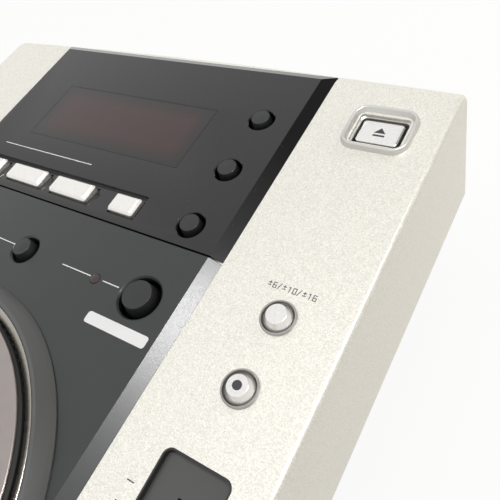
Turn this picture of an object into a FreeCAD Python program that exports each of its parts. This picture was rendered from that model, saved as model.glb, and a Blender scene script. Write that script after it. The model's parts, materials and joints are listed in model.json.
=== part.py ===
"""Tabletop disc player with a jog dial, for mixing music.

Millimetres, +Z up, front towards -Y. The origin is under the middle of the
player, on the surface it stands on. The deck is a plane that falls towards
the front. Pieces on it are drawn in the deck's own frame: x to the right,
y rearwards along the slope from the rear top edge, z out of the deck.
"""
import FreeCAD, Part
import math
import os

V = FreeCAD.Vector
os.makedirs("parts", exist_ok=True)

# Overall case
WIDTH = 218.0
DEPTH = 288.0
DECK_TILT = 5.0
REAR_TOP_Z = 104.0
REAR_OVERHANG = 16.8
REAR_LEAN = 0.202
FRONT_LEAN = 0.045
REAR_BULGE = 2.2
FRONT_BULGE = 4.0
BAND_REAR_Z = 47.0
BAND_FRONT_Z = 35.5
SHELL_WALL = 2.5
REAR_EDGE_R = 8.0
FRONT_EDGE_R = 6.0
SIDE_EDGE_R = 1.5
CASE_INSET = 10.0
CASE_WALL = 2.0
CASE_FLOOR_Z = 8.0
SHELL_TO_CASE = 0.3
FOOT_R = 10.0
FOOT_FROM_SIDE = 27.0
FOOT_FROM_FRONT = 29.0
FOOT_FROM_REAR = 36.0
VENT_COUNT = 8
VENT_FIRST_Y = -30.0
VENT_STEP = 9.0
VENT_LENGTH = 14.0
VENT_WIDTH = 2.5

# Dark panels on the deck
PANEL_WIDTH = 138.0
PANEL_X = -3.0
PANEL_HEIGHT = 2.2
PANEL_REAR_V = -2.2
PANEL_LIP = 1.2
PANEL_LIP_END = 2.4
PANEL_BEVEL = 4.0
PANEL_SEAT = 5.0
SEAM_V = 78.6
SEAM_GAP = 0.6
PANEL_FRONT_MARGIN = 7.0
WINDOW_X0 = -46.0
WINDOW_X1 = 31.0
WINDOW_V0 = 24.0
WINDOW_V1 = 52.0
WINDOW_T = 1.2
WINDOW_LEDGE = 1.5
WINDOW_FIT = 0.1

# Keys
KEY_TRAVEL = 1.0
KEY_REST_GAP = 0.3
KEY_FLANGE = 1.0
KEY_LIP = 0.8
STEM_R = 1.6
SWITCH_SIZE = 6.0
SWITCH_H = 4.0
BOARD_DEPTH = 12.0
BOARD_T = 1.6
BOSS_R = 2.5

# Small round keys beside the display
SIDE_KEY_R = 3.6
SIDE_KEY_HOLE_R = 4.65
SIDE_KEY_TOP = 3.5
SIDE_KEY_LIP = 0.35
SIDE_KEY_X = 50.0
SIDE_KEY_V = (24.7, 47.8, 70.9)

# Pale bar keys
BAR_V = 71.4
BAR_DEPTH = 7.3
BAR_TOP = 4.0
BAR_CHAMFER = 0.7
BAR_LONG = 18.9
BAR_SHORT = 11.0
BAR_X = (-52.5, -27.7, -2.9)
BAR_HOLD_X = 22.9
BAR_CLEAR = 0.35
TRENCH_V0 = 65.7
TRENCH_V1 = 77.4
TRENCH_X0 = -64.0
TRENCH_X1 = 29.3
TRENCH_DEPTH = 1.6

# Loop keys
LOOP_V = 98.0
LOOP_BIG_R = 5.4
LOOP_BIG_HOLE_R = 6.7
LOOP_SMALL_R = 4.0
LOOP_SMALL_HOLE_R = 5.0
LOOP_TOP = 4.0
LOOP_LIP = 0.6
LOOP_IN_X = -55.2
LOOP_OUT_X = -29.1
RELOOP_X = -2.7
BEAT_LOOP_X = 49.2
LED_X = 31.0
LED_R = 1.65

# Right column
COLUMN_FROM_SIDE = 19.5
EJECT_V = 18.8
EJECT_BEZEL = (22.0, 18.5)
EJECT_BEZEL_R = 5.0
EJECT_RIM = 1.8
EJECT_SIDE = 0.5
EJECT_MOUTH = (17.6, 13.6)
EJECT_MOUTH_R = 3.2
EJECT_LEDGE = (15.6, 11.6)
EJECT_LEDGE_R = 2.2
EJECT_LEDGE_H = -1.3
EJECT_HOLE_CLEAR = 0.3
EJECT_CAP = (13.5, 9.3)
EJECT_CAP_R = 1.2
EJECT_CAP_TOP = -0.9
ROUND_KEY_V = (88.2, 108.7)
ROUND_KEY_R = 4.2
ROUND_RING_R = 5.05
ROUND_RING_H = 0.9
ROUND_KEY_TOP = 2.6
ROUND_CLEAR = 0.2
ROUND_SOFTNESS = 1.1
RING_LAND = 0.25

# Tempo slider
SLIDE_V0 = 127.7
SLIDE_LENGTH = 88.0
SLIDE_WIDTH = 19.8
SLIDE_CORNER = 2.5
SLIDE_DEPTH = 2.0
SLIDE_FLOOR = 1.2
SLIDE_RIM = 0.5
SLIDE_TRAVEL = 60.0
SLIDE_SLOT_W = 3.2
SLIDE_SLOT_SPARE = 5.4
SLIDER_UNIT_W = 12.0
SLIDER_UNIT_H = 9.0
KNOB_W = 15.0
KNOB_L = 13.0
KNOB_TOP = 8.5
KNOB_GAP = 0.4
LEVER_W = 2.4
LEVER_T = 5.0

# Left column
LEFT_FROM_SIDE = 18.5
PLAY_FROM_FRONT = 32.0
PLAY_STEP = 30.5
SEARCH_STEP = 30.5
TRACK_STEP = 24.0
PLAY_KEY_R = 10.5
PLAY_RING_R = 13.0
PLAY_RING_H = 1.0
PLAY_KEY_TOP = 3.2
PAIR_SPACING = 18.0

# Jog dial
JOG_V = 182.3
JOG_R = 61.8
JOG_TOP = 7.2
JOG_PLATE_T = 1.2
JOG_SKIN = 2.2
JOG_BOTTOM = 1.0
JOG_HUB_R = 12.0
JOG_GAP = 0.7
TRIM_FOOT_W = 1.1
TRIM_W = 2.7
TRIM_TOP = 6.5
TRIM_DROP = 1.1
TRIM_LAND = 0.3
SURROUND_R = 70.0
SURROUND_EDGE_H = 3.0
SURROUND_CREST_R = 66.6
SURROUND_CREST_H = 7.0
WELL_DEPTH = 10.0
WELL_WALL = 1.2
WELL_FLOOR = 2.0
SHAFT_R = 4.0
RUNNING_FIT = 0.05
BUSH_R = 7.0
BUSH_FLANGE_R = 10.0
BUSH_FLANGE_T = 1.5
BUSH_BOTTOM = -19.5
CIRCLIP_R = 6.0
CIRCLIP_T = 0.8
ENCODER_R = 40.0
ENCODER_T = 0.5
ENCODER_SLITS = 60

# Disc path and loader
DISC_Z = 46.0
SLOT_WIDTH = 128.0
SLOT_HEIGHT = 6.0
SLOT_BEZEL_W = 152.0
SLOT_BEZEL_LOW = 6.5
SLOT_BEZEL_HIGH = 9.5
SLOT_BEZEL_RECESS = 0.6
SLOT_BEZEL_T = 3.0
SPINDLE_FROM_FRONT = 86.0
LOADER_W = 142.4
LOADER_T = 1.2
LOADER_FRONT_GAP = 18.0
LOADER_REAR_REACH = 92.0
LOADER_FLOOR_Z = 24.0
LOADER_COVER_Z = 52.0
DAMPER_R = 5.0
DAMPER_INSET = 12.0
FRAME_W = 84.0
FRAME_T = 2.0
FRAME_Z = 32.0
FRAME_FRONT_REACH = 22.0
FRAME_REAR_REACH = 80.0
FRAME_POST_R = 2.0
FRAME_SHOULDER_R = 3.4
FRAME_LIFT = 4.5
SPINDLE_MOTOR_R = 12.0
SPINDLE_MOTOR_H = 6.0
SPINDLE_R = 1.0
TURNTABLE_R = 14.0
TURNTABLE_Z = 38.0
TURNTABLE_T = 2.5
CONE_R = 7.2
CONE_H = 2.2
CONE_TAPER = 2.4
ROD_R = 1.5
ROD_X = 26.0
ROD_Z = 36.2
SCREW_X = 31.5
BLOCK = 4.4
SLED_LENGTH = 22.0
SLED_Z0 = 34.3
SLED_Z1 = 38.4
SLED_START = 16.0
SLED_TRAVEL = 34.0
LENS_R = 4.0
LENS_H = 1.1
SLED_MOTOR_R = 4.5
SLED_MOTOR_L = 12.0
CLAMPER_R = 16.0
CLAMPER_T = 2.0
CLAMPER_HOLE_R = 22.0
CLAMPER_HUB_R = 5.0
CLAMPER_RECESS = 1.4
CLAMPER_CONE_GAP = 0.6
CLAMPER_LIFT = 2.7
ARM_Z = 54.6
ARM_T = 1.4
ARM_W = 22.0
ARM_PIVOT_REACH = 60.0
ARM_PIN_R = 1.5
ARM_SLEEVE_R = 3.0
ROLLER_R = 4.5
ROLLER_HALF = 57.0
ROLLER_Z = 38.4
ROLLER_REACH = 61.0
ROLLER_SHAFT_R = 1.5
ROLLER_ARM_X = 61.0
ROLLER_ARM_T = 1.6
ROLLER_PIVOT_REACH = 43.0
ROLLER_PIVOT_Z = 31.0
ROLLER_PIN_R = 2.0
MOTOR_R = 6.0
MOTOR_L = 30.0

# Boards, transformer and sockets
STANDOFF_H = 6.0
STANDOFF_R = 3.0
MAIN_BOARD = (86.0, 80.0)
POWER_BOARD = (82.0, 40.0)
BOARD_SIDE_GAP = 4.0
BOARD_REAR_GAP = 13.0
TRANSFORMER = (52.0, 34.0, 36.0)
SOCKET_Z = 28.0
JACK_X = (-32.0, -48.0, -66.0)
JACK_R = 4.15
JACK_L = 9.0
JACK_COLLAR_R = 5.2
JACK_COLLAR_T = 1.0
JACK_PLATE = 12.0
JACK_BLOCK_L = 13.0
JACK_HOLE_R = 1.6
CONTROL_X = -81.0
CONTROL_R = 4.0
CONTROL_BORE_R = 1.8
CONTROL_BORE_L = 12.0
INLET_X = 74.0
INLET_OUT = (30.0, 17.0)
INLET_MOUTH = (18.0, 9.0)
INLET_DEPTH = 13.0
INLET_FLANGE_T = 2.0
INLET_PIN_R = 1.2
INLET_PIN_X = 4.3
INLET_PIN_L = 9.0
POWER_KEY_X = 40.0
POWER_KEY_R = 5.0
POWER_KEY_OUT = 4.0
POWER_TRAVEL = 2.5
BODY_FIT = 0.02
SCREW_R = 1.5
SCREW_HEAD_R = 3.0
SCREW_HEAD_T = 2.0
CASE_BOSS_R = 3.6
CASE_BOSS_FROM_SIDE = 16.5
CASE_BOSS_V = (4.6, 121.5)
CASE_BOSS_FROM_FRONT = 13.5
SCREW_BITE = 10.0
SCREW_SINK = 0.8
SCREW_DRIVE_DEPTH = 1.0

# Places worked out from the sizes
HALF_W = WIDTH / 2
TILT = math.radians(DECK_TILT)
REAR_SIDE_Y = DEPTH / 2 - REAR_BULGE
FRONT_SIDE_Y = -(DEPTH / 2 - FRONT_BULGE)
REAR_TOP_Y = REAR_SIDE_Y - REAR_OVERHANG
DECK_LENGTH = (REAR_TOP_Y - FRONT_SIDE_Y) / math.cos(TILT) - 3.0
PANEL_FRONT_V = DECK_LENGTH - PANEL_FRONT_MARGIN
COLUMN_X = HALF_W - COLUMN_FROM_SIDE
LEFT_X = LEFT_FROM_SIDE - HALF_W
FOOT_X = HALF_W - FOOT_FROM_SIDE
PLAY_V = DECK_LENGTH - PLAY_FROM_FRONT
CUE_V = PLAY_V - PLAY_STEP
SEARCH_V = CUE_V - SEARCH_STEP
TRACK_V = SEARCH_V - TRACK_STEP
SPINDLE_Y = -DEPTH / 2 + SPINDLE_FROM_FRONT
SLIDE_MID_V = SLIDE_V0 + SLIDE_LENGTH / 2
CASE_REAR_Y = REAR_SIDE_Y - CASE_INSET
CASE_FRONT_Y = FRONT_SIDE_Y + CASE_INSET
CASE_HALF = HALF_W - CASE_INSET
FLOOR_TOP = CASE_FLOOR_Z + CASE_WALL
JOG_BORE_R = JOG_R + JOG_GAP
TRIM_FOOT_R = JOG_BORE_R + TRIM_FOOT_W
TRIM_R = JOG_BORE_R + TRIM_W
WELL_TOP_R = TRIM_FOOT_R + 0.2
BUSH_TOP = -WELL_DEPTH + WELL_FLOOR + BUSH_FLANGE_T
SLED_Y = SPINDLE_Y + SLED_START
CLAMPER_Z = DISC_Z + CLAMPER_LIFT


def block(x0, x1, y0, y1, z0, z1):
    """A box between two corners."""
    return Part.makeBox(x1 - x0, y1 - y0, z1 - z0, V(x0, y0, z0))


def rod_z(x, y, z0, z1, r):
    """A cylinder that stands along Z."""
    return Part.makeCylinder(r, z1 - z0, V(x, y, z0), V(0, 0, 1))


def rod_x(x0, x1, y, z, r):
    """A cylinder that lies along X."""
    return Part.makeCylinder(r, x1 - x0, V(x0, y, z), V(1, 0, 0))


def rod_y(y0, y1, x, z, r):
    """A cylinder that lies along Y."""
    return Part.makeCylinder(r, y1 - y0, V(x, y0, z), V(0, 1, 0))


def tube_z(x, y, z0, z1, r_in, r_out):
    """A ring that stands along Z."""
    return rod_z(x, y, z0, z1, r_out).cut(rod_z(x, y, z0 - 1, z1 + 1, r_in))


def pad(x, y, width, length, z0, z1, corner):
    """A block with rounded upright edges, centred on x and y."""
    body = block(x - width / 2, x + width / 2, y - length / 2, y + length / 2, z0, z1)
    uprights = [e for e in body.Edges if abs(e.Vertexes[0].Z - e.Vertexes[1].Z) > (z1 - z0) / 2]
    return body.makeFillet(min(corner, width / 2.1, length / 2.1), uprights)


def turned(x, y, profile):
    """A solid of revolution about an upright axis, from (radius, height) points."""
    points = [V(x + r, y, z) for r, z in profile]
    face = Part.Face(Part.makePolygon(points + points[:1]))
    return face.revolve(V(x, y, 0), V(0, 0, 1), 360)


def rounded_wire(x, y, size, corner, z):
    """A rectangle with rounded corners, centred on x and y, as a closed wire."""
    half_w, half_l = size[0] / 2, size[1] / 2
    edges = []
    points = []
    for start, (sx, sy) in ((0, (1, 1)), (90, (-1, 1)), (180, (-1, -1)), (270, (1, -1))):
        centre = V(x + sx * (half_w - corner), y + sy * (half_l - corner), z)
        arc = [centre + V(math.cos(math.radians(start + a)), math.sin(math.radians(start + a)), 0) * corner
               for a in (0, 45, 90)]
        points.append(arc)
    for arc, after in zip(points, points[1:] + points[:1]):
        edges.append(Part.Arc(*arc).toShape())
        edges.append(Part.makeLine(arc[2], after[0]))
    return Part.Wire(edges)


def tapered(x, y, low, high):
    """A plug between two rounded rectangles, each given as (size, corner, z)."""
    wires = [rounded_wire(x, y, *low), rounded_wire(x, y, *high)]
    return Part.makeLoft(wires, True, True)


def top_edges(shape, z):
    """The edges that lie at one height."""
    return [e for e in shape.Edges if all(abs(v.Z - z) < 1e-6 for v in e.Vertexes)]


def joined(shapes):
    """One solid from touching or overlapping shapes."""
    first = shapes[0]
    return first.fuse(shapes[1:]).removeSplitter()


def on_deck(shape):
    """Move a shape from the deck's frame to the player's frame."""
    placed = shape.copy()
    placed.rotate(V(0, 0, 0), V(1, 0, 0), DECK_TILT)
    placed.translate(V(0, REAR_TOP_Y, REAR_TOP_Z))
    return placed


def deck_point(x, v, h):
    """A deck place in the player's frame, for x, distance from the rear edge and height."""
    y = REAR_TOP_Y - v * math.cos(TILT) - h * math.sin(TILT)
    z = REAR_TOP_Z - v * math.sin(TILT) + h * math.cos(TILT)
    return (x, y, z)


def outline(inset, z):
    """The case's plan at one height: straight sides, bowed rear and front."""
    half = HALF_W - inset
    rear = REAR_SIDE_Y + (BAND_REAR_Z - z) * REAR_LEAN - inset
    front = FRONT_SIDE_Y - (BAND_FRONT_Z - z) * FRONT_LEAN + inset
    left_rear = V(-half, rear, z)
    right_rear = V(half, rear, z)
    left_front = V(-half, front, z)
    right_front = V(half, front, z)
    return Part.Wire([
        Part.Arc(left_rear, V(0, rear + REAR_BULGE, z), right_rear).toShape(),
        Part.makeLine(right_rear, right_front),
        Part.Arc(right_front, V(0, front - FRONT_BULGE, z), left_front).toShape(),
        Part.makeLine(left_front, left_rear)])


def case_form(inset, top_h):
    """The case's outer form, moved inwards by an inset and cut at a deck height."""
    low_z = BAND_FRONT_Z - 12.0
    body = Part.makeLoft([outline(inset, low_z), outline(inset, REAR_TOP_Z + 12.0)], True, True)
    above = on_deck(block(-WIDTH, WIDTH, -2 * DEPTH, DEPTH, top_h, top_h + 90.0))
    body = body.cut(above)
    crossways = []
    for edge in body.Edges:
        mid = edge.valueAt((edge.FirstParameter + edge.LastParameter) / 2)
        if abs(mid.x) < 1.0 and mid.z > REAR_TOP_Z / 2:
            crossways.append((mid.y, edge))
    crossways.sort(key=lambda item: item[0])
    body = body.makeFillet(FRONT_EDGE_R - inset, [crossways[0][1]])
    rear = [e for e in body.Edges
            if abs(e.valueAt((e.FirstParameter + e.LastParameter) / 2).x) < 1.0
            and e.valueAt((e.FirstParameter + e.LastParameter) / 2).y > REAR_TOP_Y
            and e.valueAt((e.FirstParameter + e.LastParameter) / 2).z > REAR_TOP_Z / 2]
    return body.makeFillet(REAR_EDGE_R - inset, rear)


def softened(body):
    """Round the edges round both side faces, but not along the foot."""
    half = HALF_W - 1e-3
    edges = []
    for edge in body.Edges:
        ends = [v.Point for v in edge.Vertexes]
        at_side = all(abs(p.x) > half for p in ends)
        low = all(p.z < BAND_FRONT_Z - 5.0 for p in ends)
        if at_side and not low:
            edges.append(edge)
    return body.makeFillet(SIDE_EDGE_R, edges)


def below_band(drop):
    """Everything under the band's lower edge, moved down by a drop."""
    run = REAR_SIDE_Y - FRONT_SIDE_Y
    slope = math.degrees(math.atan((BAND_REAR_Z - BAND_FRONT_Z) / run))
    body = block(-WIDTH, WIDTH, -DEPTH, 2 * DEPTH, -200.0, 0.0)
    body.rotate(V(0, 0, 0), V(1, 0, 0), slope)
    body.translate(V(0, FRONT_SIDE_Y, BAND_FRONT_Z - drop))
    return body


def boss_post(x, v, z0, z1, r):
    """An upright post at a deck place, in the player's frame."""
    return rod_z(x, deck_point(x, v, 0)[1], z0, z1, r)


def case_boss_places():
    """Where the screws join the shell and the lower case."""
    x = HALF_W - CASE_BOSS_FROM_SIDE
    return [(side * x, v) for side in (-1, 1) for v in (*CASE_BOSS_V, DECK_LENGTH - CASE_BOSS_FROM_FRONT)]


def panel_solid(v0, v1, rear_bevel, front_bevel):
    """A raised panel with sloping edges, in the deck's frame."""
    half = PANEL_WIDTH / 2
    low = [(-half, -v1), (half, -v1), (half, -v0), (-half, -v0)]
    top = PANEL_BEVEL
    front = v1 - (top if front_bevel else 0)
    rear = v0 + (top if rear_bevel else 0)
    high = [(-half + top, -front), (half - top, -front), (half - top, -rear), (-half + top, -rear)]
    wires = []
    for corners, z in ((low, 0.0), (high, PANEL_HEIGHT)):
        points = [V(PANEL_X + x, y, z) for x, y in corners]
        wires.append(Part.makePolygon(points + points[:1]))
    return Part.makeLoft(wires, True, True)


def key_stem(x, v, flange_r, under):
    """The flange that holds a key in its hole, and the stem above its switch."""
    top = under - KEY_REST_GAP
    stem_end = -BOARD_DEPTH + SWITCH_H + KEY_TRAVEL + KEY_REST_GAP
    flange = rod_z(x, -v, top - KEY_FLANGE, top, flange_r)
    stem = rod_z(x, -v, stem_end, top, STEM_R)
    return [flange, stem]


def round_key(x, v, cap_r, hole_r, top, under, softness=0.6):
    """A round key cap with its flange and stem, in the player's frame."""
    cap = rod_z(x, -v, under - KEY_REST_GAP - KEY_FLANGE, top, cap_r)
    cap = cap.makeFillet(min(softness, cap_r / 3), top_edges(cap, top))
    return on_deck(joined([cap] + key_stem(x, v, hole_r + KEY_LIP, under)))


def bar_key(x, width):
    """A pale bar key with sloped edges, in the player's frame."""
    y = -BAR_V
    under = 0.0
    cap = block(x - width / 2, x + width / 2, y - BAR_DEPTH / 2, y + BAR_DEPTH / 2,
                under - KEY_REST_GAP - KEY_FLANGE, BAR_TOP)
    cap = cap.makeChamfer(BAR_CHAMFER, top_edges(cap, BAR_TOP))
    lip = KEY_LIP + BAR_CLEAR
    flange = block(x - width / 2 - lip, x + width / 2 + lip,
                   y - BAR_DEPTH / 2 - lip, y + BAR_DEPTH / 2 + lip,
                   under - KEY_REST_GAP - KEY_FLANGE, under - KEY_REST_GAP)
    stem = key_stem(x, BAR_V, STEM_R, under)[1]
    return on_deck(joined([cap, flange, stem]))


def switch(x, v):
    """A push switch on a board, in the deck's frame."""
    half = SWITCH_SIZE / 2
    return block(x - half, x + half, -v - half, -v + half, -BOARD_DEPTH, -BOARD_DEPTH + SWITCH_H)


def key_board(x0, x1, v0, v1, places):
    """A board under the deck with a switch below each key."""
    board = block(x0, x1, -v1, -v0, -BOARD_DEPTH - BOARD_T, -BOARD_DEPTH)
    return on_deck(joined([board] + [switch(x, v) for x, v in places]))


def corner_bosses(x0, x1, v0, v1, under):
    """Four posts that carry a board under the deck."""
    inset = BOSS_R + 0.5
    return [rod_z(x, -v, -BOARD_DEPTH, under, BOSS_R)
            for x in (x0 + inset, x1 - inset) for v in (v0 + inset, v1 - inset)]


RIGHT_BOARD_W = 30.0
LEFT_BOARD_W = 28.0
EJECT_BOARD_MARGIN = 8.3
KEY_BOARD_MARGIN = 7.8
TRACK_BOARD_MARGIN = 12.0
PLAY_BOARD_MARGIN = 15.5
PANEL_KEYS = ([(SIDE_KEY_X, v) for v in SIDE_KEY_V] + [(x, BAR_V) for x in BAR_X]
              + [(BAR_HOLD_X, BAR_V)]
              + [(x, LOOP_V) for x in (LOOP_IN_X, LOOP_OUT_X, RELOOP_X, BEAT_LOOP_X)])
CONTROL_BOARD = (PANEL_X - 61.0, PANEL_X + 61.0, 12.0, 112.0)
FRONT_BOSS_V = SEAM_V - 16.0
RIGHT_KEYS = [(COLUMN_X, EJECT_V), (COLUMN_X, ROUND_KEY_V[0]), (COLUMN_X, ROUND_KEY_V[1])]
RIGHT_BOARD = (COLUMN_X - RIGHT_BOARD_W / 2, COLUMN_X + RIGHT_BOARD_W / 2,
               EJECT_V - EJECT_BOARD_MARGIN, ROUND_KEY_V[1] + KEY_BOARD_MARGIN)
PAIR_PLACES = [(LEFT_X + side * PAIR_SPACING / 2, v) for v in (TRACK_V, SEARCH_V) for side in (-1, 1)]
LEFT_KEYS = PAIR_PLACES + [(LEFT_X, CUE_V), (LEFT_X, PLAY_V)]
LEFT_BOARD = (LEFT_X - LEFT_BOARD_W / 2, LEFT_X + LEFT_BOARD_W / 2,
              TRACK_V - TRACK_BOARD_MARGIN, PLAY_V + PLAY_BOARD_MARGIN)


def make_top_shell():
    """The pale outer shell, open below, with its bosses and deck openings."""
    body = softened(case_form(0.0, 0.0)).cut(case_form(SHELL_WALL, -SHELL_WALL))
    body = body.cut(below_band(0.0))
    posts = [boss_post(x, v, FLOOR_TOP, deck_point(x, v, -SHELL_WALL / 2)[2], CASE_BOSS_R)
             for x, v in case_boss_places()]
    deck_posts = corner_bosses(*RIGHT_BOARD, -SHELL_WALL / 2) + corner_bosses(*LEFT_BOARD, -SHELL_WALL / 2)
    body = joined([body] + posts + [on_deck(p) for p in deck_posts])
    half = PANEL_WIDTH / 2 - PANEL_SEAT
    deep = -SHELL_WALL - 1
    cuts = [block(PANEL_X - half, PANEL_X + half, -PANEL_FRONT_V + PANEL_SEAT,
                  -PANEL_REAR_V - PANEL_SEAT, deep, 1.0)]
    cuts.append(pad(COLUMN_X, -EJECT_V, EJECT_CAP[0] + 3.0, EJECT_CAP[1] + 3.0, deep, 1.0, EJECT_CAP_R))
    cuts += [rod_z(COLUMN_X, -v, deep, 1.0, ROUND_KEY_R + ROUND_CLEAR) for v in ROUND_KEY_V]
    cuts += [rod_z(x, -v, deep, 1.0, ROUND_KEY_R + ROUND_CLEAR) for x, v in PAIR_PLACES]
    cuts += [rod_z(LEFT_X, -v, deep, 1.0, PLAY_KEY_R + ROUND_CLEAR) for v in (CUE_V, PLAY_V)]
    cuts.append(pad(COLUMN_X, -SLIDE_MID_V, SLIDE_WIDTH, SLIDE_LENGTH, deep, 1.0, SLIDE_CORNER))
    body = body.cut([on_deck(c) for c in cuts])
    bezel = slot_bezel_space(0.15)
    holes = [boss_post(x, v, 0.0, FLOOR_TOP + SCREW_BITE + 2.0, SCREW_R + BODY_FIT)
             for x, v in case_boss_places()]
    return body.cut([bezel] + holes)


def slot_bezel_space(clear):
    """The room that the slot's bezel takes in the front wall."""
    half = SLOT_BEZEL_W / 2 + clear
    return block(-half, half, -DEPTH, CASE_FRONT_Y, DISC_Z - SLOT_BEZEL_LOW - clear,
                 DISC_Z + SLOT_BEZEL_HIGH + clear)


def make_slot_bezel():
    """The dark insert in the front wall with the disc slot."""
    skin = case_form(SLOT_BEZEL_RECESS, -SHELL_WALL).cut(
        case_form(SLOT_BEZEL_RECESS + SLOT_BEZEL_T, -SHELL_WALL * 2))
    body = skin.common(slot_bezel_space(0.0))
    slot = block(-SLOT_WIDTH / 2, SLOT_WIDTH / 2, -DEPTH, 0.0,
                 DISC_Z - SLOT_HEIGHT / 2, DISC_Z + SLOT_HEIGHT / 2)
    pinhole = rod_y(-DEPTH, 0.0, SLOT_WIDTH / 2 + 5.0, DISC_Z, 0.9)
    return body.cut([slot, pinhole])


def make_base_case():
    """The lower case: a tub with a sloping flange that closes the shell."""
    tub = block(-CASE_HALF, CASE_HALF, CASE_FRONT_Y, CASE_REAR_Y, CASE_FLOOR_Z, REAR_TOP_Z)
    uprights = [e for e in tub.Edges if abs(e.Vertexes[0].Z - e.Vertexes[1].Z) > 10.0]
    tub = tub.makeFillet(6.0, uprights).common(below_band(-CASE_WALL))
    flange = case_form(SHELL_WALL + SHELL_TO_CASE, -SHELL_WALL * 2)
    flange = flange.common(below_band(-CASE_WALL)).cut(below_band(0.0))
    inner = CASE_HALF - CASE_WALL
    room = block(-inner, inner, CASE_FRONT_Y + CASE_WALL, CASE_REAR_Y - CASE_WALL,
                 FLOOR_TOP, REAR_TOP_Z)
    body = joined([tub, flange]).cut(room)
    posts = [rod_z(x, y, FLOOR_TOP, FLOOR_TOP + STANDOFF_H, STANDOFF_R)
             for x, y in board_posts()]
    body = joined([body] + posts)
    cuts = [boss_post(x, v, 0.0, FLOOR_TOP, SCREW_R + BODY_FIT) for x, v in case_boss_places()]
    cuts += [boss_post(x, v, 0.0, CASE_FLOOR_Z + SCREW_SINK, SCREW_HEAD_R + BODY_FIT)
             for x, v in case_boss_places()]
    wall = (CASE_REAR_Y - CASE_WALL - 1.0, CASE_REAR_Y + 1.0)
    cuts += [rod_y(wall[0], wall[1], x, SOCKET_Z, JACK_R + 0.15) for x in JACK_X]
    cuts.append(rod_y(wall[0], wall[1], CONTROL_X, SOCKET_Z, CONTROL_R + 0.15))
    cuts.append(rod_y(wall[0], wall[1], POWER_KEY_X, SOCKET_Z, POWER_KEY_R + 0.3))
    half_w = INLET_OUT[0] / 2 - 2.0
    half_h = INLET_OUT[1] / 2 - 2.0
    cuts.append(block(INLET_X - half_w, INLET_X + half_w, wall[0], wall[1],
                      SOCKET_Z - half_h, SOCKET_Z + half_h))
    for row in range(VENT_COUNT):
        y = VENT_FIRST_Y + row * VENT_STEP
        for x in (-FOOT_X, FOOT_X):
            cuts.append(block(x - VENT_LENGTH / 2, x + VENT_LENGTH / 2, y, y + VENT_WIDTH,
                              CASE_FLOOR_Z - 1.0, FLOOR_TOP + 1.0))
    return body.cut(cuts)


def main_board_corner():
    """The low x and y corner of the main board."""
    x = -CASE_HALF + CASE_WALL + BOARD_SIDE_GAP
    y = CASE_REAR_Y - CASE_WALL - BOARD_REAR_GAP - MAIN_BOARD[1]
    return x, y


def power_board_corner():
    """The low x and y corner of the power board."""
    x = CASE_HALF - CASE_WALL - BOARD_SIDE_GAP - POWER_BOARD[0]
    y = CASE_REAR_Y - CASE_WALL - BOARD_REAR_GAP - POWER_BOARD[1]
    return x, y


def board_posts():
    """The standoffs under the two boards on the floor."""
    places = []
    for (x, y), (width, length) in ((main_board_corner(), MAIN_BOARD),
                                    (power_board_corner(), POWER_BOARD)):
        inset = STANDOFF_R + 1.0
        places += [(px, py) for px in (x + inset, x + width - inset)
                   for py in (y + inset, y + length - inset)]
    return places


def floor_board(corner, size, parts):
    """A circuit board on the floor's standoffs with its tall parts."""
    x, y = corner
    z = FLOOR_TOP + STANDOFF_H
    shapes = [block(x, x + size[0], y, y + size[1], z, z + BOARD_T)]
    for px, py, width, length, height in parts:
        shapes.append(block(x + px, x + px + width, y + py, y + py + length,
                            z + BOARD_T / 2, z + BOARD_T + height))
    return joined(shapes)


def key_lip(x, v, hole_r, lip):
    """The chamfer round the top of a key's hole, to be cut from a panel."""
    return Part.makeCone(hole_r, hole_r + 2 * lip, 2 * lip, V(x, -v, PANEL_HEIGHT - lip), V(0, 0, 1))


def key_trench():
    """The wedge behind the bar keys: a step at the rear that runs out to the front."""
    floor = PANEL_HEIGHT - TRENCH_DEPTH
    side = [V(TRENCH_X0, -TRENCH_V0, floor), V(TRENCH_X0, -TRENCH_V0, PANEL_HEIGHT + 0.1),
            V(TRENCH_X0, -TRENCH_V1, PANEL_HEIGHT + 0.1)]
    return Part.Face(Part.makePolygon(side + side[:1])).extrude(V(TRENCH_X1 - TRENCH_X0, 0, 0))


def make_display_panel():
    """The glossy panel over the display, with key holes, trench and window pocket."""
    body = panel_solid(PANEL_REAR_V, SEAM_V, True, False)
    body = joined([body] + corner_bosses(*CONTROL_BOARD[:3], FRONT_BOSS_V, 0.5))
    x0, x1 = WINDOW_X0 - WINDOW_FIT, WINDOW_X1 + WINDOW_FIT
    v0, v1 = WINDOW_V0 - WINDOW_FIT, WINDOW_V1 + WINDOW_FIT
    cuts = [block(x0, x1, -v1, -v0, PANEL_HEIGHT - WINDOW_T, PANEL_HEIGHT + 1.0),
            block(x0 + WINDOW_LEDGE, x1 - WINDOW_LEDGE, -v1 + WINDOW_LEDGE, -v0 - WINDOW_LEDGE,
                  -1.0, PANEL_HEIGHT)]
    cuts += [rod_z(SIDE_KEY_X, -v, -1.0, PANEL_HEIGHT + 1.0, SIDE_KEY_HOLE_R) for v in SIDE_KEY_V]
    cuts += [key_lip(SIDE_KEY_X, v, SIDE_KEY_HOLE_R, SIDE_KEY_LIP) for v in SIDE_KEY_V]
    cuts.append(key_trench())
    for x, width in [(x, BAR_LONG) for x in BAR_X] + [(BAR_HOLD_X, BAR_SHORT)]:
        cuts.append(block(x - width / 2 - BAR_CLEAR, x + width / 2 + BAR_CLEAR,
                          -BAR_V - BAR_DEPTH / 2 - BAR_CLEAR, -BAR_V + BAR_DEPTH / 2 + BAR_CLEAR,
                          -1.0, PANEL_HEIGHT))
    half = PANEL_WIDTH / 2
    lip = on_deck(block(PANEL_X - half, PANEL_X + half, -PANEL_LIP_END, -PANEL_REAR_V, -PANEL_LIP, 0.0))
    return joined([on_deck(body.cut(cuts)), lip.cut(case_form(0.0, 0.0))])


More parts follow.
